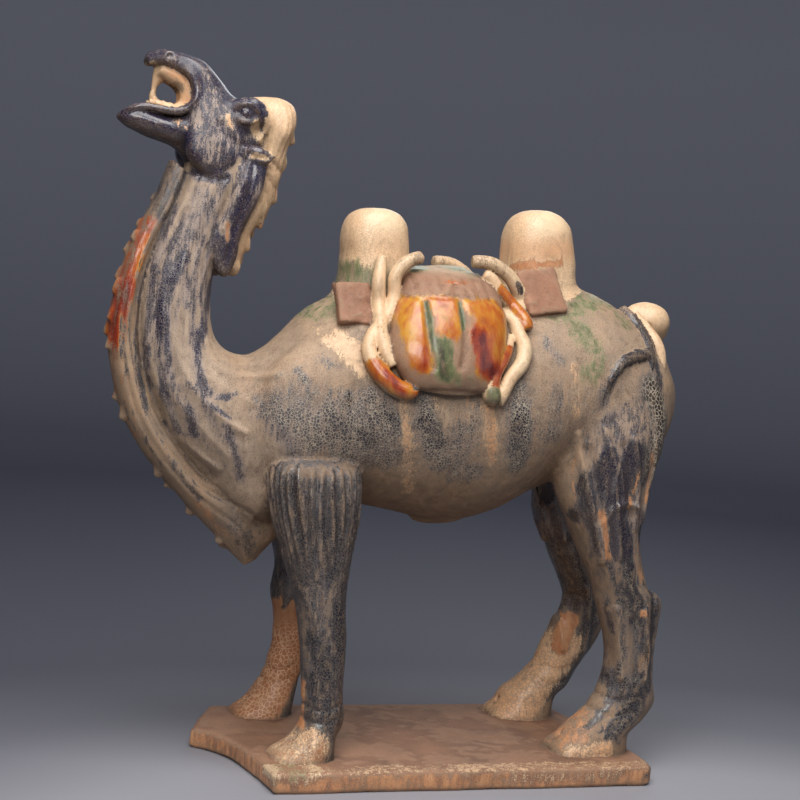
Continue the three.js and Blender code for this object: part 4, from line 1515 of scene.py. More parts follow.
@dataclass(frozen=True)
class Pack:
    """The cloth over the back with a bulging bag on each side."""

    bag: Rows = (
        (-52, 289, 0, 289, 6, 77),
        (-62, 292, 7, 293, 12, 75.5),
        (-70, 304, 12, 306, 19, 71),
        (-74, 318, 16, 320, 22, 66),
        (-71, 335, 19, 337, 24, 59),
        (-64, 352, 18, 354, 24, 49),
        (-58, 368, 13, 369, 22, 37),
        (-54, 377, 6, 378, 18, 24),
    )
    saddle: Rows = (
        (-54, 350, -52, 346, 3),
        (-52, 376, -48, 334, 38),
        (-28, 381, -26, 334, 42),
        (4, 381, 2, 334, 38),
        (10, 352, 8, 348, 3),
    )
    puff: Rows = ((-24, 50, 367), (13, 9, 7))
    hem: Rows = ((-64, 68, 299, 1.8), (-54, 77, 291.5, 2.2), (-28, 82, 288.5, 2.4),
                 (-2, 77, 291.5, 2.2), (7, 68, 300, 1.8))

    def forms(self) -> list[Form]:
        """Models the pack's lumps.

        Returns:
            The forms, in the order they are laid.
        """
        out = [loft(Part.CLOTH, self.saddle, square=2.6, fillet=3)]
        for side in BOTH:
            out += [
                loft(Part.BAG, self.bag, side, square=2.3, fillet=1.6, sides=96),
                knob(Part.BAG, *self.puff, side, fillet=2.5),
                strand(Part.CLOTH, self.hem, side, fillet=1.6),
            ]
        return out

    def lines(self) -> list[Line]:
        """Draws the two grooves down each bag, the pleats above them and the folds between.

        Returns:
            The lines.
        """
        grooves = [
            [(-50, 352), (-51, 336), (-50, 318), (-47, 306)],
            [(-24, 354), (-23, 336), (-24, 318), (-26, 308)],
        ]
        pleats = [[(-62 + 9 * n, 371), (-64 + 9.5 * n, 358)] for n in range(8)]
        return [
            *[Line(path, 2.6, 2.4, 30, sides=BOTH) for path in grooves],
            *[Line(path, 1.6, 0.8, 24, sides=BOTH, smooth=False) for path in pleats],
            Line([(-68, 354), (-44, 357), (-20, 358), (4, 357), (16, 352)], 1.8, 1.0, 26,
                 sides=BOTH),
            Line([(-36, 359), (-30, 366), (-24, 369), (-17, 366), (-12, 359)], 1.6, -1.2, 26,
                 sides=BOTH),
        ]

    def washes(self) -> list[Wash]:
        """Brushes the bags' amber, yellow to red, with green runs, between bare bands.

        Returns:
            The strokes, in the order they are laid.
        """
        bag, both = (Part.BAG,), (Part.BAG, Part.CLOTH)
        amber, green, clay = Glaze.AMBER, Glaze.GREEN, Glaze.RED_CLAY
        brushed = [
            (clay, [(-60, 330), (10, 330)], 60, 0.5, 0.3, 0.0),
            (green, [(-44, 300), (-20, 298), (-4, 302)], 9, 0.3, 0.9, 0.0),
            (amber, [(-62, 350), (-36, 353), (8, 350)], 9, 0.9, 0.9, 0.16),
            (amber, [(-61, 345), (-59, 330), (-56, 310)], 16, 1.0, 0.8, 0.25),
            (amber, [(-37, 350), (-36, 332)], 16, 1.0, 0.8, 0.36),
            (amber, [(0, 347), (0, 330), (-1, 312)], 24, 1.0, 0.8, 0.34),
            (amber, [(-64, 340), (-62, 326)], 7, 1.0, 0.9, 0.06),
            (amber, [(-55, 318), (-54, 306)], 7, 0.95, 0.9, 0.72),
            (amber, [(-13, 332), (-8, 314), (0, 306)], 12, 1.0, 0.9, 0.95),
            (green, [(-49, 352), (-49, 334), (-47, 320)], 3.4, 0.85, 0.9, 0.0),
            (green, [(-41, 322), (-37, 302)], 12, 1.0, 0.8, 0.0),
            (green, [(-24, 353), (-24, 336)], 3.4, 0.85, 0.9, 0.0),
            (clay, [(-62, 366), (10, 366)], 9, 0.75, 0.6, 0.0),
            (amber, [(-32, 369), (-16, 369)], 4, 0.5, 0.9, 0.6),
            (Glaze.SLIP, [(-52, 380), (4, 380)], 7, 0.8, 0.8, 0.0),
            (green, [(-50, 378), (-36, 382)], 8, 0.8, 0.9, 0.0),
            (green, [(-16, 380), (0, 379)], 8, 0.6, 0.9, 0.0),
        ]
        return [Wash(glaze, path, width, share, soft, heat=heat, web=0.1,
                     parts=bag if glaze in (amber, clay) else both)
                for glaze, path, width, share, soft, heat in brushed]


@dataclass(frozen=True)
class Ropes:
    """Crossed rope ends hang over each bag, one pair before it and two pairs behind it.

    A row of a strand is x, z, how far it lies off the trunk's side, and its radius.
    """

    least_side: float = 38.0
    strands: Sequence[Rows] = (
        ((-74, 384, -6, 4), (-78, 366, 3, 5.2), (-77, 350, 4, 5.2), (-78, 337, 5, 5.2),
         (-79, 325, 5, 5.2), (-77, 314, 4, 5.2), (-72, 304, 3, 4)),
        ((-46, 386, 3, 5), (-58, 381, 5, 5.2), (-66, 370, 5, 5.2), (-66, 354, 5, 5.2),
         (-73, 337, 2, 5.2), (-84, 327, 3, 5.2), (-89, 314, 4, 5.6), (-82, 299, 4, 7),
         (-70, 289, 5, 7), (-60, 287, 6, 6), (-56, 291, 7, 2.5)),
        ((18, 350, 1, 4), (27, 343, 3, 5.2), (28, 335, 4, 5.4), (31, 325, 4, 5.8),
         (28, 313, 4, 5.8), (18, 301, 4, 5.4), (12, 289, 4, 5), (10, 281, 4, 3)),
        ((-5, 386, 3, 5), (9, 386, 5, 5.2), (22, 380, 5, 5.4), (31, 371, 5, 5.6),
         (36, 360, 3, 5.2), (36, 350, 0, 4.5)),
        ((4, 377, 6, 4), (10, 374, 7, 5), (18, 364, 8, 5.8), (28, 355, 8, 5.8),
         (34, 345, 7, 5.6), (36, 338, 5, 4.2)),
        ((22, 332, 1, 3.5), (17, 323, 4, 4.6), (12, 314, 5, 5), (5, 303, 5, 5.6),
         (2, 293, 6, 6.4), (3, 286, 6, 6.8), (4, 281, 5, 3)),
    )

    def settled(self, trunk: Trunk) -> list[Rows]:
        """Lays the strands on the pack or the trunk.

        Args:
            trunk: the trunk that they lie on.

        Returns:
            Their points as x, distance off the mid-plane, z and radius.
        """
        return [
            [(x, max(trunk.flank(x, z), self.least_side) + lift, z, radius)
             for x, z, lift, radius in rows]
            for rows in self.strands
        ]

    def forms(self, trunk: Trunk) -> list[Form]:
        """Models the rope strands; the far side has only the longest ones.

        Args:
            trunk: the trunk that they lie on.

        Returns:
            The forms, in the order they are laid.
        """
        strands = self.settled(trunk)
        near = [strand(Part.ROPE, rows, Side.NEAR, fillet=1.1) for rows in strands]
        far = [strand(Part.ROPE, rows, Side.FAR, fillet=1.1) for rows in strands[1:4]]
        return near + far

    def washes(self) -> list[Wash]:
        """Brushes the cream ropes with amber ends, one tip green and one dark.

        Returns:
            The strokes, in the order they are laid.
        """
        rope, near = (Part.ROPE,), (Side.NEAR,)
        brushed = [
            (Glaze.CREAM, [(-100, 330), (60, 330)], 90, 1.0, 0.2, BOTH),
            (Glaze.CREAM, [(31, 326), (24, 308)], 9, 1.0, 0.0, BOTH),
            (Glaze.AMBER, [(-86, 302), (-70, 291), (-58, 289)], 11, 0.96, 0.4, BOTH),
            (Glaze.AMBER, [(-80, 300), (-68, 286)], 4, 0.9, 0.75, BOTH),
            (Glaze.AMBER, [(18, 366), (28, 356), (36, 340)], 7, 0.9, 0.35, near),
            (Glaze.AMBER, [(17, 322), (10, 308), (4, 296)], 6, 0.92, 0.6, near),
            (Glaze.AMBER, [(-80, 340), (-80, 326)], 4, 0.4, 0.1, near),
            (Glaze.GREEN, [(3, 289), (4, 281)], 8, 0.96, 0.0, BOTH),
            (Glaze.COBALT, [(-57, 291), (-54, 292)], 4, 0.95, 0.0, BOTH),
            (Glaze.COBALT, [(31, 372), (35, 366)], 3.4, 0.8, 0.0, near),
        ]
        return [Wash(glaze, path, width, share, 0.6, heat=heat, web=0.12, sides=sides, parts=rope)
                for glaze, path, width, share, heat, sides in brushed]


@dataclass(frozen=True)
class Boards:
    """Square boards of the pack frame, leaning against each hump.

    A row is a board's x and z, its width and height, and its tilt in radians.
    """

    thickness: float = 10.0
    lean: float = 26.0
    least_side: float = 36.0
    dents: int = 18
    sides: int = 40
    roundness: float = 0.3
    levels: Rows = ((-1, 0.84), (-0.9, 0.98), (0, 0.97), (0.9, 1.0), (1, 0.86))
    near: Rows = ((-95, 347, 28, 33, 0.05), (54, 367, 34, 38, 0.2))
    far: Rows = ((-74, 347, 28, 33, 0.0), (66, 364, 34, 36, 0.1))

    def forms(self, trunk: Trunk) -> list[Form]:
        """Models the boards' lumps.

        Args:
            trunk: the trunk that they lean on.

        Returns:
            The forms, in the order they are laid.
        """
        out = []
        for side, boards in ((Side.NEAR, self.near), (Side.FAR, self.far)):
            for row in boards:
                out.append(self.board(row, trunk, side))
        return out

    def board(self, row: Sequence[float], trunk: Trunk, side: Side) -> Form:
        """Makes one board as rings of a rounded rectangle through its height.

        Args:
            row: the board's row.
            trunk: the trunk that it leans on.
            side: the side that it is on.

        Returns:
            The board.
        """
        x, z, width, height, tilt = row
        off = max(trunk.flank(x, z - height / 4), self.least_side) + 1
        angle = np.linspace(0, 2 * np.pi, self.sides, endpoint=False)
        u = np.sign(np.cos(angle)) * np.abs(np.cos(angle)) ** self.roundness * width / 2
        v = np.sign(np.sin(angle)) * np.abs(np.sin(angle)) ** self.roundness * self.thickness / 2
        lean = Matrix.Rotation(side.value * math.radians(self.lean), 3, "X")
        turn = lean @ Matrix.Rotation(-tilt, 3, "Y")
        rings = []
        for share, inset in self.levels:
            flat = np.column_stack([u * inset, v * inset, np.full(self.sides, share * height / 2)])
            rings.append(flat @ np.array(turn).T + (x, MID_PLANE + side.value * off, z))
        return skin(np.array(rings), Part.BOARD, 1.4)

    def lines(self) -> list[Line]:
        """Draws the dents and lumps that wear has left in the boards.

        Returns:
            The lines.
        """
        chance = np.random.default_rng(21)
        out = []
        for side, boards in ((Side.NEAR, self.near), (Side.FAR, self.far)):
            for x, z, width, height, _ in boards:
                for _ in range(self.dents):
                    start = (x + width * chance.uniform(-0.5, 0.5),
                             z + height * chance.uniform(-0.5, 0.5))
                    end = (start[0] + chance.uniform(-8, 8), start[1] + chance.uniform(-3, 3))
                    out.append(Line([start, end], chance.uniform(1.3, 3.2),
                                    chance.uniform(-1.1, 1.0), 30, sides=(side,), smooth=False))
        return out

    def washes(self) -> list[Wash]:
        """Returns the boards' bare reddish clay."""
        return [Wash(Glaze.RED_CLAY, [(-110, 350), (90, 360)], 60, 1.0, parts=(Part.BOARD,))]


@dataclass(frozen=True)
class Tail:
    """The short tail, curled into a knob, with a lock and a flick of hair on the near buttock."""

    dark_lock: Rows = ((138, 14, 361, 3.5), (142, 22, 354, 4.6), (146, 33, 342, 5),
                       (148, 43, 330, 5), (147, 50, 320, 4.6), (146, 53, 308, 1.5))
    pale_lock: Rows = ((148, 18, 358, 3), (153, 31, 346, 3.8), (158, 39, 335, 4.2),
                       (161, 43, 323, 3.8), (162, 45, 312, 1.5))
    flick: Rows = ((150, 46.5, 326, 3.2), (142, 51.5, 325, 4.1), (130, 57, 323, 4.2),
                   (117, 62.5, 318, 4.0), (108, 66, 308, 3.6), (104, 67, 296, 1.4))
    root: Rows = ((166, 0, 349), (22, 12, 19))
    curl: Rows = ((171, -3, 352), (15, 13, 14))
    hollow: Rows = ((159, 26, 347, 3.6), (163, 12, 347, 2.6), (168, 6, 348, 1.2))

    def forms(self) -> list[Form]:
        """Models the tail's lumps and the hollow in its curl.

        Returns:
            The forms, in the order they are laid.
        """
        return [
            knob(Part.TAIL, *self.root, fillet=4),
            knob(Part.TAIL, *self.curl, fillet=3),
            strand(Part.TAIL, self.pale_lock, Side.NEAR, fillet=2),
            strand(Part.LOBE, self.dark_lock, Side.NEAR, fillet=2.4),
            strand(Part.LOBE, self.flick, Side.NEAR, fillet=2.8),
            strand(Part.TAIL, self.hollow, Side.NEAR, fillet=2, cut=True),
        ]

    def washes(self) -> list[Wash]:
        """Brushes the cream tail, its blue lock and flick, and the blue that ran from them.

        Returns:
            The strokes, in the order they are laid.
        """
        run_off = {"low": 0, "parts": (Part.HIDE, Part.HIND_LEG)}
        return [
            Wash(Glaze.CREAM, [(138, 362), (186, 350), (160, 312)], 40, heat=0.25, web=0.25,
                 parts=(Part.TAIL,)),
            Wash(Glaze.COBALT, [(110, 300), (160, 340)], 40, 0.9, web=0.1, parts=(Part.LOBE,),
                 low=-30),
            Wash(Glaze.COBALT, [(152, 322), (156, 304)], 5, 0.8, 0.8, **run_off),
            Wash(Glaze.COBALT, [(106, 304), (100, 286)], 7, 0.7, 0.9, **run_off),
        ]


def rgb(red: float, green: float, blue: float) -> Colour:
    """Turns a screen colour into the linear colour that a shader takes.

    Args:
        red: its red, from 0 to 255.
        green: its green.
        blue: its blue.

    Returns:
        The colour, opaque.
    """
    def linear(part: float) -> float:
        """Returns one part of the colour without the screen's curve."""
        share = part / 255
        return share / 12.92 if share <= 0.04045 else ((share + 0.055) / 1.055) ** 2.4
    return (linear(red), linear(green), linear(blue), 1.0)


class Signal:
    """An output socket of a shader tree, for use in Python expressions."""

    def __init__(self, tree: "ShaderTree", socket: bpy.types.NodeSocket) -> None:
        """Wraps a socket of a tree."""
        self.tree = tree
        self.socket = socket

    def _math(self, operation: str, *values: "Signal | float", clamp: bool = False) -> "Signal":
        """Adds a Math node on the values and returns its result."""
        return self.tree.node("ShaderNodeMath", {"operation": operation, "use_clamp": clamp},
                              dict(enumerate(values)))

    def __add__(self, other: "Signal | float") -> "Signal":
        """Returns the sum."""
        return self._math("ADD", self, other)

    __radd__ = __add__

    def __mul__(self, other: "Signal | float") -> "Signal":
        """Returns the product."""
        return self._math("MULTIPLY", self, other)

    __rmul__ = __mul__

    def __sub__(self, other: "Signal | float") -> "Signal":
        """Returns the difference."""
        return self._math("SUBTRACT", self, other)

    def __rsub__(self, other: float) -> "Signal":
        """Returns the difference from a number."""
        return self._math("SUBTRACT", other, self)

    def span(self, start: float, end: float) -> "Signal":
        """Returns 0 at start, 1 at end and a straight slope between them."""
        scale = 1 / (end - start)
        return self._math("MULTIPLY_ADD", self, scale, -start * scale, clamp=True)

    def above(self, other: "Signal | float") -> "Signal":
        """Returns the greater of the two."""
        return self._math("MAXIMUM", self, other)

    def towards(self, other: "Signal | float", share: "Signal | float") -> "Signal":
        """Returns a value that goes from this one to another by a share."""
        return self + (other - self) * share


class ShaderTree:
    """A material's node tree and the few kinds of node that the finishes use."""

    def __init__(self, name: str) -> None:
        """Makes a material with its shader.

        Args:
            name: its name.
        """
        self.material = bpy.data.materials.new(name)
        self.material.use_nodes = True
        self.nodes = self.material.node_tree.nodes
        self.surface = self.nodes["Principled BSDF"]

    def fill(self, node: bpy.types.Node, sockets: dict[str | int, object]) -> None:
        """Sets or links a node's sockets.

        Args:
            node: the node.
            sockets: a value or Signal for each socket's name, identifier or number.
        """
        for key, value in sockets.items():
            if isinstance(key, int):
                socket = node.inputs[key]
            else:
                socket = next(s for s in node.inputs if key in (s.identifier, s.name))
            if isinstance(value, Signal):
                self.material.node_tree.links.new(value.socket, socket)
            else:
                socket.default_value = value

    def node(self, kind: str, settings: dict[str, object], sockets: dict[str | int, object],
             output: str | int = 0) -> Signal:
        """Adds a node.

        Args:
            kind: the node's type.
            settings: its settings; a ramp's stops are given as "stops".
            sockets: values or Signals for its sockets.
            output: the socket that is wanted.

        Returns:
            That output.
        """
        node = self.nodes.new(kind)
        for key, value in settings.items():
            if key == "stops":
                stops = node.color_ramp.elements
                for n, (place, colour) in enumerate(value):
                    stop = stops[n] if n < len(stops) else stops.new(place)
                    stop.position = place
                    stop.color = colour
            else:
                setattr(node, key, value)
        self.fill(node, sockets)
        return Signal(self, node.outputs[output])

    def attribute(self, name: str) -> Signal:
        """Returns a value stored on the mesh."""
        return self.node("ShaderNodeAttribute", {"attribute_name": name}, {}, "Fac")

    def stretched(self, place: Signal, scale: Sequence[float]) -> Signal:
        """Returns a place with each of its parts scaled."""
        return self.node("ShaderNodeVectorMath", {"operation": "MULTIPLY"},
                         {0: place, 1: tuple(scale)})

    def noise(self, place: Signal, size: float, detail: float = 2.0) -> Signal:
        """Adds smooth noise.

        Args:
            place: where it is read.
            size: the size of its swells.
            detail: how many finer layers it has.

        Returns:
            The noise, spread over 0 to 1.
        """
        raw = self.node("ShaderNodeTexNoise", {}, {"Vector": place, "Scale": 1 / size,
                                                   "Detail": detail})
        return raw.span(0.28, 0.72)

    def cells(self, place: Signal, size: float) -> tuple[Signal, Signal]:
        """Adds crackle cells.

        Args:
            place: where they are read.
            size: the size of a cell.

        Returns:
            The distance to a cell's edge, and a number for each cell.
        """
        sockets = {"Vector": place, "Scale": 1 / size}
        edge = self.node("ShaderNodeTexVoronoi", {"feature": "DISTANCE_TO_EDGE"}, sockets)
        shade = self.node("ShaderNodeTexVoronoi", {"feature": "F1"}, sockets, "Color")
        return edge, self.node("ShaderNodeSeparateColor", {}, {0: shade})

    def mixed(self, base: "Signal | Colour", top: "Signal | Colour",
              share: "Signal | float") -> Signal:
        """Adds a mix of two colours.

        Args:
            base: the colour at 0.
            top: the colour at 1.
            share: how far it goes from one to the other.

        Returns:
            The colour.
        """
        return self.node("ShaderNodeMix", {"data_type": "RGBA"},
                         {"Factor_Float": share, "A_Color": base, "B_Color": top},
                         2)


@dataclass(frozen=True)
class Patterns:
    """What varies over the surface, mostly from 0 to 1, that the glazes are mixed by.

    Attributes:
        tree: the shader tree that it belongs to.
        broad: noise in swells as wide as a hand.
        run: noise drawn out downwards, as glaze runs.
        hair: finer noise drawn out further, as thin streaks.
        fleck: noise as small as the flecks in the glaze.
        grit: the finest noise.
        shade: a number for each crackle cell.
        wide_shade: a number for each cell of the coarse crackle.
        coarse: how far the crackle is the coarse one.
        web: how clearly the crackle shows.
        line: the crackle's lines.
        wear: where glaze wears off first.
        share: each glaze's brushed share.
        hollow: how deep in a crease the place is, which sets the dirt and painted shade there.
        rim: how sharp an edge it is on.
        heat: how hot the glaze was fired there.
        under: how far it faces down, which sets the painted shade there.
    """

    tree: ShaderTree
    broad: Signal
    run: Signal
    hair: Signal
    fleck: Signal
    grit: Signal
    shade: Signal
    wide_shade: Signal
    coarse: Signal
    web: Signal
    line: Signal
    wear: Signal
    share: dict[Glaze, Signal]
    hollow: Signal
    rim: Signal
    heat: Signal
    under: Signal

    def cover(self, glaze: Glaze, pattern: Signal, sharp: "Signal | float") -> Signal:
        """Adds where a glaze is left.

        Args:
            glaze: the glaze.
            pattern: where it goes first, from 0 to 1.
            sharp: how sharp its edges are.

        Returns:
            Its cover, from 0 to 1.
        """
        here = self.share[glaze]
        left = ((here * 1.2 - 0.1 - pattern) * sharp + 0.5).span(0, 1)
        return left * here.span(0.02, 0.12)


@dataclass(frozen=True)
class SancaiGlaze:
    """Worn, crackled glaze over bare clay, laid by the shares brushed on the skin.

    Each glaze has a thin and a thick colour, and amber has stops from pale to burnt. Lengths are
    millimetres: the sizes of the noises and of the crackle's cells. The hangs are how much a noise
    is drawn out downwards.
    """

    clay: Sequence[Colour] = (rgb(168, 142, 114), rgb(132, 114, 98))
    earth: Colour = rgb(168, 124, 92)
    terracotta: Sequence[Colour] = (rgb(166, 116, 88), rgb(118, 80, 60))
    cream: Sequence[Colour] = (rgb(228, 200, 162), rgb(214, 150, 100))
    cream_line: Sequence[Colour] = (rgb(184, 124, 84), rgb(112, 70, 46))
    honey: Sequence[Colour] = (rgb(204, 150, 106), rgb(184, 112, 66))
    baked: Colour = rgb(122, 74, 44)
    haze: Sequence[Colour] = (rgb(84, 81, 84), rgb(118, 119, 140))
    green: Sequence[Colour] = (rgb(122, 138, 88), rgb(22, 48, 30))
    amber: Sequence[tuple[float, Colour]] = (
        (0.0, rgb(194, 138, 44)), (0.4, rgb(178, 94, 26)), (0.7, rgb(148, 54, 24)),
        (1.0, rgb(92, 22, 18)),
    )
    cobalt: Sequence[Colour] = (rgb(90, 89, 95), rgb(26, 27, 38))
    navy: Colour = rgb(18, 20, 54)
    scorched: Colour = rgb(44, 38, 34)
    cobalt_line: Colour = rgb(206, 190, 166)
    slip: Colour = rgb(186, 164, 142)
    soot: Colour = rgb(78, 60, 46)
    brick: Colour = rgb(112, 70, 40)
    rubbed: Colour = rgb(160, 134, 108)
    # dark specks of dirt on the bare clay, and the dirt and painted shade laid in the creases
    dirt_and_crease_shade: Colour = rgb(66, 50, 38)
    # painted shade laid on the surfaces that face down
    shade: Colour = rgb(84, 66, 46)
    broad: float = 26.0
    run: float = 5.0
    hair: float = 1.5
    fleck: float = 1.1
    grit: float = 0.6
    crackle: float = 2.1
    coarse_crackle: float = 3.6
    hang: float = 0.3
    hair_hang: float = 0.14

    def material(self) -> bpy.types.Material:
        """Makes the material.

        Returns:
            The material.
        """
        seen = self.patterns(ShaderTree("sancai_glaze"))
        left = self.covers(seen)
        colour = self.bare(seen)
        colour = self.glazed(seen, left, colour)
        colour = self.shade_dirt_and_wear(seen, left, colour)
        self.finish(seen, left, colour)
        return seen.tree.material

    def patterns(self, tree: ShaderTree) -> Patterns:
        """Adds the noises, the crackle and the mesh's own values.

        Args:
            tree: the shader tree.

        Returns:
            The patterns.
        """
        coordinates = tree.node("ShaderNodeTexCoord", {}, {}, "Object")
        place = tree.stretched(coordinates, (1000, 1000, 1000))
        broad = tree.noise(place, self.broad, 3)
        run = tree.noise(tree.stretched(place, (1, 1, self.hang)), self.run, 4)
        hair = tree.noise(tree.stretched(place, (1, 1, self.hair_hang)), self.hair, 2)
        fleck = tree.noise(place, self.fleck, 3)
        grit = tree.noise(place, self.grit, 1)
        bend = tree.node("ShaderNodeTexNoise", {}, {"Vector": place, "Scale": 0.4}, "Color")
        bent = tree.node("ShaderNodeVectorMath", {"operation": "ADD"}, {
            0: place, 1: tree.stretched(bend, (1.8, 1.8, 1.8))})
        edge, shade = tree.cells(bent, self.crackle)
        wide_edge, wide_shade = tree.cells(bent, self.coarse_crackle)
        coarse = tree.attribute("coarse")
        fine_line = 1 - edge.span(0.02, 0.13)
        wide_line = 1 - wide_edge.span(0.03, 0.13)
        line = (fine_line * (1 - coarse)).above(wide_line * coarse.span(0, 0.6))
        web = tree.attribute("web")
        line = line * web * (0.4 + fleck * 0.8)
        wear = broad * 0.18 + run * 0.24 + hair * 0.22 + fleck * 0.24 + grit * 0.12
        wear = wear.span(0.32, 0.68).towards(shade, web * 0.04)
        share = {glaze: tree.attribute(glaze.value) for glaze in Glaze}
        hollow, rim, heat, under = (tree.attribute(name)
                                    for name in ("hollow", "rim", "warmth", "under"))
        return Patterns(tree, broad, run, hair, fleck, grit, shade, wide_shade, coarse, web, line,
                        wear, share, hollow, rim, heat, under)

    def covers(self, seen: Patterns) -> dict[Glaze, Signal]:
        """Returns where each glaze is left, from its share and the wear.

        Args:
            seen: the patterns.

        Returns:
            The cover of each glaze that lies over the clay.
        """
        wear, run, fleck, blue = seen.wear, seen.run, seen.fleck, seen.share[Glaze.COBALT]
        chips = (fleck * 0.5 + seen.grit * 0.5).span(0.68, 0.8)
        chips = chips * (0.9 - blue * 0.6 + seen.share[Glaze.SLIP] * 0.3)
        cobalt = seen.cover(Glaze.COBALT, wear + (1 - blue) * 0.09, 3.4 - seen.web * 1.5)
        return {
            Glaze.COBALT: cobalt * (1 - chips),
            Glaze.CREAM: seen.cover(Glaze.CREAM, 1 - wear, 4.0),
            Glaze.GREEN: seen.cover(Glaze.GREEN, 1 - (wear * 0.6 + run * 0.4), 2.0),
            Glaze.HONEY: seen.cover(Glaze.HONEY, run * 0.6 + fleck * 0.4, 3.0),
            Glaze.AMBER: seen.cover(Glaze.AMBER, run * 0.6 + fleck * 0.4, 2.4),
        }

    def bare(self, seen: Patterns) -> Signal:
        """Adds the colour of the clay with its slip, soot and red patches.

        Args:
            seen: the patterns.

        Returns:
            The colour.
        """
        mixed, broad, run, fleck, share = (seen.tree.mixed, seen.broad, seen.run, seen.fleck,
                                           seen.share)
        bare = mixed(self.clay[0], self.clay[1], broad)
        bare = mixed(bare, self.earth, run * 0.5 * (1 - broad))
        bare = mixed(bare, self.slip, share[Glaze.SLIP] * (0.4 + run * 0.7))
        bare = mixed(bare, self.soot, share[Glaze.SOOT] * (0.45 + seen.hair * 0.5))
        bare = mixed(bare, self.earth, seen.shade * seen.web * 0.3)
        specks = (fleck * 0.6 + seen.grit * 0.4).span(0.6, 0.8)
        bare = mixed(bare, self.dirt_and_crease_shade, specks * 0.6)
        fired = mixed(self.terracotta[0], self.terracotta[1], fleck * 0.4 + broad * 0.6)
        fired = mixed(fired, self.brick, share[Glaze.SOOT])
        return mixed(bare, fired, share[Glaze.RED_CLAY])

    def glazed(self, seen: Patterns, left: dict[Glaze, Signal], bare: Signal) -> Signal:
        """Lays the glazes' colours over the clay's, the cobalt with its crackle last.

        Args:
            seen: the patterns.
            left: each glaze's cover.
            bare: the clay's colour.

        Returns:
            The colour.
        """
        mixed, broad, run, heat = seen.tree.mixed, seen.broad, seen.run, seen.heat
        line, coarse, slip, blue = (seen.line, seen.coarse, seen.share[Glaze.SLIP],
                                    seen.share[Glaze.COBALT])
        haze = (blue * 1.7 - seen.wear * 0.5).span(0, 1) * (0.5 + seen.web * 0.45)
        colour = mixed(bare, mixed(self.haze[0], self.haze[1], slip), haze)
        pale = mixed(self.cream[0], self.cream[1], heat * 0.9 + (broad - 0.4) * 0.3)
        cracks = mixed(self.cream_line[0], self.cream_line[1], coarse * 0.8)
        colour = mixed(colour, mixed(pale, cracks, line * 0.8), left[Glaze.CREAM])
        sweet = mixed(self.honey[0], self.honey[1], run)
        sweet = mixed(sweet, self.baked, heat)
        sweet = mixed(sweet, self.cream[1], line * 0.8)
        colour = mixed(colour, sweet, left[Glaze.HONEY])
        lush = (run * 0.5 + seen.share[Glaze.GREEN] * 0.7).span(0.45, 1.05)
        colour = mixed(colour, mixed(self.green[0], self.green[1], lush), left[Glaze.GREEN] * 0.9)
        warm = seen.tree.node("ShaderNodeValToRGB", {"stops": self.amber}, {
            0: heat + (run - 0.5) * 0.5})
        colour = mixed(colour, warm, left[Glaze.AMBER])
        depth = (blue * 0.9 + seen.wide_shade * 0.25 + (1 - broad) * 0.2).span(0.35, 0.95)
        deep = mixed(self.cobalt[1], self.navy, slip)
        ink = mixed(self.cobalt[0], deep, depth)
        burnt = (seen.shade.span(0.5, 0.7) * (0.6 - blue * 0.6)).above(coarse)
        colour = mixed(colour, mixed(ink, self.scorched, burnt), left[Glaze.COBALT])
        webbing = line * (haze * 1.3).above(left[Glaze.COBALT]).above(0.5)
        return mixed(colour, self.cobalt_line, webbing.span(0, 1.2))

    def shade_dirt_and_wear(self, seen: Patterns, left: dict[Glaze, Signal], clean: Signal) -> Signal:
        """Paints shade on the surfaces that face down, lays dirt and painted shade in the creases,
        and rubs the edges pale.

        Args:
            seen: the patterns.
            left: each glaze's cover.
            clean: the colour so far.

        Returns:
            The colour.
        """
        mixed, fleck = seen.tree.mixed, seen.fleck
        # painted shade: surfaces that face down are darkened
        colour = mixed(clean, self.shade, seen.under * 0.75)
        # dirt and painted shade: the creases are darkened by their depth
        colour = mixed(colour, self.dirt_and_crease_shade, seen.hollow * 0.75 * (0.5 + fleck * 0.5))
        worn = seen.rim * (fleck * 0.6 + seen.run * 0.6).span(0.35, 0.75)
        worn = worn * (0.55 - seen.share[Glaze.SLIP] * 0.3)
        return mixed(colour, self.rubbed, worn * (1 - left[Glaze.AMBER]))

    def finish(self, seen: Patterns, left: dict[Glaze, Signal], colour: Signal) -> None:
        """Sets the shader's colour, its gloss and the relief of the glaze.

        Args:
            seen: the patterns.
            left: each glaze's cover.
            colour: the colour.
        """
        line, hollow, fleck, grit = seen.line, seen.hollow, seen.fleck, seen.grit
        cobalt, cream, green, honey, amber = (left[glaze] for glaze in (
            Glaze.COBALT, Glaze.CREAM, Glaze.GREEN, Glaze.HONEY, Glaze.AMBER))
        gloss = seen.share[Glaze.COBALT].span(0.6, 0.95)
        rough = (0.62 + grit * 0.12).towards(0.5 - gloss * 0.34, cobalt)
        rough = rough.towards(0.44, cream).towards(0.3, green).towards(0.5, honey)
        rough = rough.towards(0.2, amber)
        rough = rough.towards(0.7, (hollow * 0.6).above(line * 0.3))
        coat = (cobalt * gloss * 0.5).above(amber * 0.36).above(cream * 0.1).above(green * 0.2)
        coat = coat.above(honey * 0.06) * (1 - hollow)
        height = cobalt * 0.14 + cream * 0.16 + amber * 0.3 + green * 0.1 + honey * 0.16
        height = height + grit * 0.06 + fleck * 0.1 + seen.run * 0.14 - line * 0.14
        bump = seen.tree.node("ShaderNodeBump", {}, {"Height": height, "Strength": 0.8,
                                                     "Distance": 0.001})
        seen.tree.fill(seen.tree.surface, {
            "Base Color": colour, "Roughness": rough, "Coat Weight": coat,
            "Coat Roughness": 0.12, "IOR": 1.5, "Normal": bump,
        })


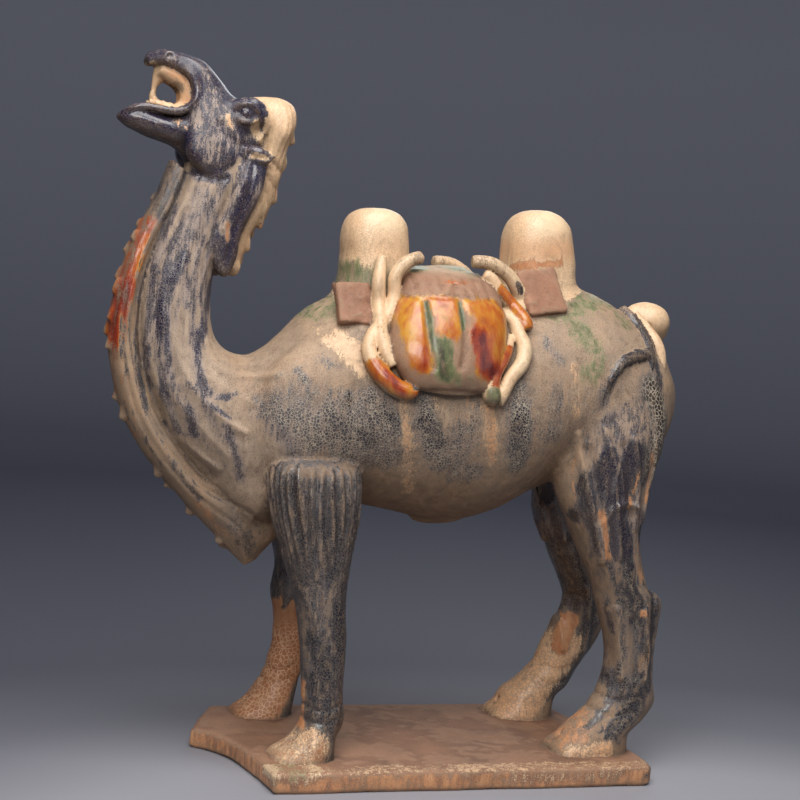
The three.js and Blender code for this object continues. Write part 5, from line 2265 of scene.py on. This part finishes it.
@dataclass(frozen=True)
class PaleSweep:
    """The floor's pale paint, which goes through slate to a lighter grey far from the camera.

    The stops are distances in metres from a place before the figure, with their colours.
    """

    middle: Sequence[float] = (0.0, -0.45, 0.0)
    stops: Sequence[tuple[float, Colour]] = (
        (0.44, rgb(146, 146, 153)), (0.6, rgb(106, 106, 115)), (0.78, rgb(80, 82, 92)),
        (2.4, rgb(76, 78, 92)), (5.8, rgb(180, 182, 196)),
    )
    rough: float = 0.6

    def material(self) -> bpy.types.Material:
        """Makes the material.

        Returns:
            The material.
        """
        tree = ShaderTree("pale_sweep")
        coordinates = tree.node("ShaderNodeTexCoord", {}, {}, "Object")
        radius = tree.node("ShaderNodeVectorMath", {"operation": "DISTANCE"},
                           {0: coordinates, 1: tuple(self.middle)}, "Value")
        reach = self.stops[-1][0]
        stops = [(place / reach, colour) for place, colour in self.stops]
        colour = tree.node("ShaderNodeValToRGB", {"stops": stops}, {0: radius * (1 / reach)})
        tree.fill(tree.surface, {"Base Color": colour, "Roughness": self.rough})
        return tree.material


@dataclass(frozen=True)
class Lamp:
    """One soft light: where it stands, its width and height, and its power."""

    name: str
    place: Sequence[float]
    size: Sequence[float]
    power: float
    colour: Sequence[float] = (1.0, 1.0, 1.0)


@dataclass(frozen=True)
class Studio:
    """The pale floor, the soft lights and the camera of the photograph.

    The camera looks at the figure from before its near side, tipped a little. Lengths are metres
    and angles are degrees.
    """

    aim: Sequence[float] = (-0.042, 0.0)
    distance: float = 1.305
    height: float = 0.345
    yaw: float = -20.0
    pitch: float = 3.0
    roll: float = 4.5
    lens: float = 76.5
    sensor: float = 36.0
    flat: float = 3.0
    bend: float = 2.5
    wall: float = 4.5
    inner: Sequence[float] = (0.5, 1.5)
    floor_sides: int = 64
    floor_steps: int = 16
    sky: Colour = (0.62, 0.64, 0.68, 1.0)
    sky_strength: float = 0.33
    target: Sequence[float] = (-0.03, 0.0, 0.26)
    lamps: Sequence[Lamp] = (
        Lamp("key", (-0.75, -1.3, 0.98), (0.9, 0.4), 12.0, (1.0, 0.97, 0.93)),
        Lamp("fill", (1.3, -1.3, 0.8), (1.2, 1.0), 3.2, (0.93, 0.96, 1.0)),
        Lamp("top", (-0.2, -0.5, 1.4), (1.0, 1.0), 20.0, (1.0, 0.98, 0.96)),
        Lamp("rear", (0.9, 1.7, 1.3), (0.9, 0.9), 4.0, (0.95, 0.97, 1.0)),
    )

    def build(self) -> None:
        """Makes the floor, the lights and the camera."""
        self.floor()
        for lamp in self.lamps:
            self.light(lamp)
        self.camera()
        world = bpy.data.worlds.new("studio")
        world.use_nodes = True
        sky = world.node_tree.nodes["Background"]
        sky.inputs["Color"].default_value = self.sky
        sky.inputs["Strength"].default_value = self.sky_strength
        bpy.context.scene.world = world
        bpy.context.scene.view_settings.view_transform = "Standard"

    def floor(self) -> None:
        """Makes the plain pale floor, which curves up far behind and around the figure."""
        angle = np.linspace(0, 2 * np.pi, self.floor_sides, endpoint=False)
        rise = np.linspace(0, np.pi / 2, self.floor_steps)
        curved = self.flat + self.bend * np.sin(rise)
        reach = np.concatenate([self.inner, curved, [self.flat + self.bend]])
        height = np.concatenate([[0, 0], self.bend * (1 - np.cos(rise)), [self.wall]])
        rings = np.stack([reach[:, None] * np.cos(angle), reach[:, None] * np.sin(angle),
                          height[:, None] * np.ones_like(angle)], axis=-1)
        here = np.arange(rings.shape[0] * self.floor_sides).reshape(rings.shape[:2])
        after = np.roll(here, -1, axis=1)
        quads = np.stack([here[:-1], here[1:], after[1:], after[:-1]], axis=-1).reshape(-1, 4)
        mesh = bpy.data.meshes.new("floor")
        mesh.from_pydata(rings.reshape(-1, 3).tolist(), [], [*quads.tolist(), here[0].tolist()])
        mesh.shade_smooth()
        floor = bpy.data.objects.new("floor", mesh)
        bpy.context.scene.collection.objects.link(floor)
        mesh.materials.append(PaleSweep().material())

    def light(self, lamp: Lamp) -> None:
        """Makes one soft light that faces the figure.

        Args:
            lamp: the light.
        """
        data = bpy.data.lights.new(lamp.name, "AREA")
        data.shape = "RECTANGLE"
        data.size, data.size_y = lamp.size
        data.energy = lamp.power
        data.color = lamp.colour
        obj = bpy.data.objects.new(lamp.name, data)
        obj.location = lamp.place
        facing = Vector(self.target) - Vector(lamp.place)
        obj.rotation_euler = facing.to_track_quat("-Z", "Y").to_euler()
        bpy.context.scene.collection.objects.link(obj)

    def camera(self) -> None:
        """Makes the camera."""
        yaw, pitch, roll = (math.radians(v) for v in (self.yaw, self.pitch, self.roll))
        ahead = Vector((-math.sin(yaw) * math.cos(pitch), math.cos(yaw) * math.cos(pitch),
                        -math.sin(pitch)))
        right = Vector((math.cos(yaw), math.sin(yaw), 0))
        up = right.cross(ahead)
        tipped_right = math.cos(roll) * right + math.sin(roll) * up
        tipped_up = math.cos(roll) * up - math.sin(roll) * right
        data = bpy.data.cameras.new("camera")
        data.lens = self.lens
        data.sensor_width = self.sensor
        data.sensor_fit = "HORIZONTAL"
        obj = bpy.data.objects.new("camera", data)
        turn = Matrix((tipped_right, tipped_up, -ahead)).transposed()
        place = Vector((self.aim[0] + self.distance * math.sin(yaw),
                        self.aim[1] - self.distance * math.cos(yaw), self.height))
        obj.matrix_world = Matrix.Translation(place) @ turn.to_4x4()
        bpy.context.scene.collection.objects.link(obj)
        bpy.context.scene.camera = obj


@dataclass
class Skin:
    """The clay's skin as it is glazed.

    Attributes:
        points: its points, in millimetres.
        parts: the part that each point belongs to.
        hollow: how deep in a crease each point is, from 0 to 1.
        rim: how sharp an edge each point is on, from 0 to 1.
        under: how far each point faces down, from 0 to 1.
    """

    points: np.ndarray
    parts: np.ndarray
    hollow: np.ndarray
    rim: np.ndarray
    under: np.ndarray


class Glazing:
    """Brushes the glazes on the skin's points."""

    PATH_STEPS = 4  # straight pieces for each gap between a stroke's corners

    def __init__(self, values: Skin) -> None:
        """Starts with bare clay.

        Args:
            values: the skin.
        """
        self.skin = values
        count = len(values.points)
        self.shares = {glaze: np.zeros(count) for glaze in Glaze}
        self.traits = {name: np.zeros(count) for name in ("warmth", "web", "coarse")}

    def brush(self, washes: Iterable[Wash]) -> None:
        """Lays strokes one over the other; each takes the place of what is there.

        A glaze leaves the ground that it is laid on, and a ground takes the place of all.

        Args:
            washes: the strokes.
        """
        x, y, z = self.skin.points.T
        off = y - MID_PLANE
        for wash in washes:
            here = np.zeros(len(x), bool)
            for side in wash.sides:
                here |= (side.value * off >= wash.low) & (side.value * off <= wash.high)
            if wash.parts:
                here &= np.isin(self.skin.parts, [int(part) for part in wash.parts])
            distance = away(smooth_rows(wash.path, self.PATH_STEPS), x[here], z[here])
            fade = np.clip((wash.width - distance) / (wash.width * wash.soft), 0, 1)
            weight = fade * fade * (3 - 2 * fade)
            for glaze, share in self.shares.items():
                if glaze is wash.glaze:
                    share[here] += (wash.share - share[here]) * weight
                elif glaze not in GROUNDS or wash.glaze in GROUNDS:
                    share[here] *= 1 - weight * wash.share
            for name, value in (("warmth", wash.heat), ("web", wash.web), ("coarse", wash.coarse)):
                self.traits[name][here] += (value - self.traits[name][here]) * weight

    def store(self, mesh: bpy.types.Mesh) -> None:
        """Keeps the shares and traits on the mesh, with the hollows, edges and undersides.

        Args:
            mesh: the mesh.
        """
        values = {glaze.value: share for glaze, share in self.shares.items()} | self.traits
        values |= {"hollow": self.skin.hollow, "rim": self.skin.rim, "under": self.skin.under}
        for name, value in values.items():
            stored = mesh.attributes.new(name, "FLOAT", "POINT")
            stored.data.foreach_set("value", value.astype(np.float32))


@dataclass(frozen=True)
class Modelling:
    """Builds the figure's clay and turns its skin into one mesh.

    Attributes:
        low: the block's lowest corner.
        high: its highest corner.
        grain: the pitch of its grid.
        reach: how far from the surface distances are kept.
        most_triangles: how many triangles the mesh may have.
        swells: the unevenness under the pack, as the seed, the spacing and the height of each.
        last_swell: the unevenness of it all.
        sole: points lower than this are pressed flat on the floor.
        fine_blur: how many cells are blurred over to find fine creases and sharp edges.
        fine_crease: the depth of a full fine crease.
        broad_blur: the same for broad creases.
        broad_crease: the depth of a full broad crease.
        fine_share: the share of fine creases in the hollows.
    """

    low: Sequence[float] = (-284.0, -106.0, -4.0)
    high: Sequence[float] = (200.0, 106.0, 528.0)
    grain: float = 1.3
    reach: float = 7.8
    most_triangles: int = 192_000
    swells: Rows = ((3, 34, 0.8), (4, 11, 0.28))
    last_swell: Sequence[float] = (5, 5, 0.16)
    sole: float = 0.9
    fine_blur: float = 2.0
    fine_crease: float = 0.9
    broad_blur: float = 4.5
    broad_crease: float = 2.6
    fine_share: float = 0.6

    def clay(self) -> Clay:
        """Models all the figure's forms and lines, in their order.

        Returns:
            The block of clay.
        """
        trunk, neck, mane, head, hair = Trunk(), Neck(), ThroatMane(), Head(), Hair()
        humps, legs, pack, ropes, boards, tail = Humps(), Legs(), Pack(), Ropes(), Boards(), Tail()
        clay = Clay(self.low, self.high, self.grain, self.reach)
        for maker in (trunk, neck, humps, legs, Slab(), mane, hair, head, tail):
            clay.shape(maker.forms())
        for swell in self.swells:
            clay.unsettle(*swell)
        for maker in (trunk, neck, legs, hair, mane, head):
            clay.press(maker.lines())
        clay.shape(pack.forms())
        clay.press(pack.lines())
        clay.shape(boards.forms(trunk))
        clay.press(boards.lines())
        clay.shape(ropes.forms(trunk))
        clay.unsettle(*self.last_swell)
        return clay

    def build(self) -> tuple[bpy.types.Object, Skin]:
        """Makes the figure's mesh.

        Returns:
            Its object and its skin's values.
        """
        clay = self.clay()
        points, quads = self.largest(*clay.surface())
        LOG.info("skin: %d points, %d quads", len(points), len(quads))
        whole = bpy.data.meshes.new("camel_skin")
        whole.from_pydata(points.tolist(), [], quads.tolist())
        obj = bpy.data.objects.new("camel_glazed", whole)
        bpy.context.scene.collection.objects.link(obj)
        thin = obj.modifiers.new("thin", "DECIMATE")
        thin.ratio = self.most_triangles / (2 * len(quads))
        graph = bpy.context.evaluated_depsgraph_get()
        mesh = bpy.data.meshes.new_from_object(obj.evaluated_get(graph))
        obj.modifiers.clear()
        obj.data = mesh
        bpy.data.meshes.remove(whole)
        return obj, self.settle(mesh, clay)

    @staticmethod
    def largest(points: np.ndarray, quads: np.ndarray) -> tuple[np.ndarray, np.ndarray]:
        """Leaves out small loose bits.

        Args:
            points: the points.
            quads: the four-sided faces.

        Returns:
            The points and faces of the largest piece.
        """
        label = np.arange(len(points))
        ends = np.vstack([quads[:, [0, 1]], quads[:, [1, 2]], quads[:, [2, 3]]])
        settled = False
        while not settled:
            least = label.copy()
            for end in (0, 1):
                np.minimum.at(least, ends[:, end], label[ends].min(axis=1))
            least = least[least]
            settled = bool((least == label).all())
            label = least
        keep = label == np.bincount(label).argmax()
        number = np.cumsum(keep) - 1
        LOG.info("left out %d points of loose bits", int((~keep).sum()))
        return points[keep], number[quads[keep[quads[:, 0]]]]

    def settle(self, mesh: bpy.types.Mesh, clay: Clay) -> Skin:
        """Stands the mesh flat on its underside and scales it to metres.

        Args:
            mesh: the mesh.
            clay: the clay that it was made of.

        Returns:
            The skin's values, in millimetres.
        """
        points, facing = (np.empty(len(mesh.vertices) * 3, np.float32) for _ in range(2))
        mesh.vertices.foreach_get("co", points)
        mesh.vertices.foreach_get("normal", facing)
        points, facing = points.reshape(-1, 3), facing.reshape(-1, 3)
        points[:, 2] = np.where(points[:, 2] < self.sole, 0.0, points[:, 2])
        fine = clay.sample(clay.blurred(self.fine_blur), points) / self.fine_crease
        broad = clay.sample(clay.blurred(self.broad_blur), points) / self.broad_crease
        skin_values = Skin(
            points=points,
            parts=clay.sample(clay.part, points - self.grain * facing),
            hollow=(np.clip(-fine, 0, 1) * self.fine_share
                    + np.clip(-broad, 0, 1) * (1 - self.fine_share)),
            rim=np.clip(fine, 0, 1),
            under=np.clip(-facing[:, 2], 0, 1),
        )
        low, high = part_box(NODE)
        metres = (high.z - low.z) / DRAWN_HEIGHT
        mesh.vertices.foreach_set("co", (points * metres).ravel())
        mesh.update()
        return skin_values


def main() -> None:
    """Builds the figure, glazes it and sets it in the studio."""
    logging.basicConfig(level=logging.INFO, format="%(message)s")
    obj, values = Modelling().build()
    LOG.info("camel: %d triangles", len(obj.data.polygons))
    glazing = Glazing(values)
    for maker in (Slab(), Trunk(), Neck(), ThroatMane(), Humps(), Legs(), Head(), Hair(), Pack(),
                  Boards(), Ropes(), Tail()):
        glazing.brush(maker.washes())
    glazing.store(obj.data)
    obj.data.shade_smooth()
    obj.data.materials.append(SancaiGlaze().material())
    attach(obj, "root")
    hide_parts(NODE)
    Studio().build()


if __name__ == "__main__":
    main()
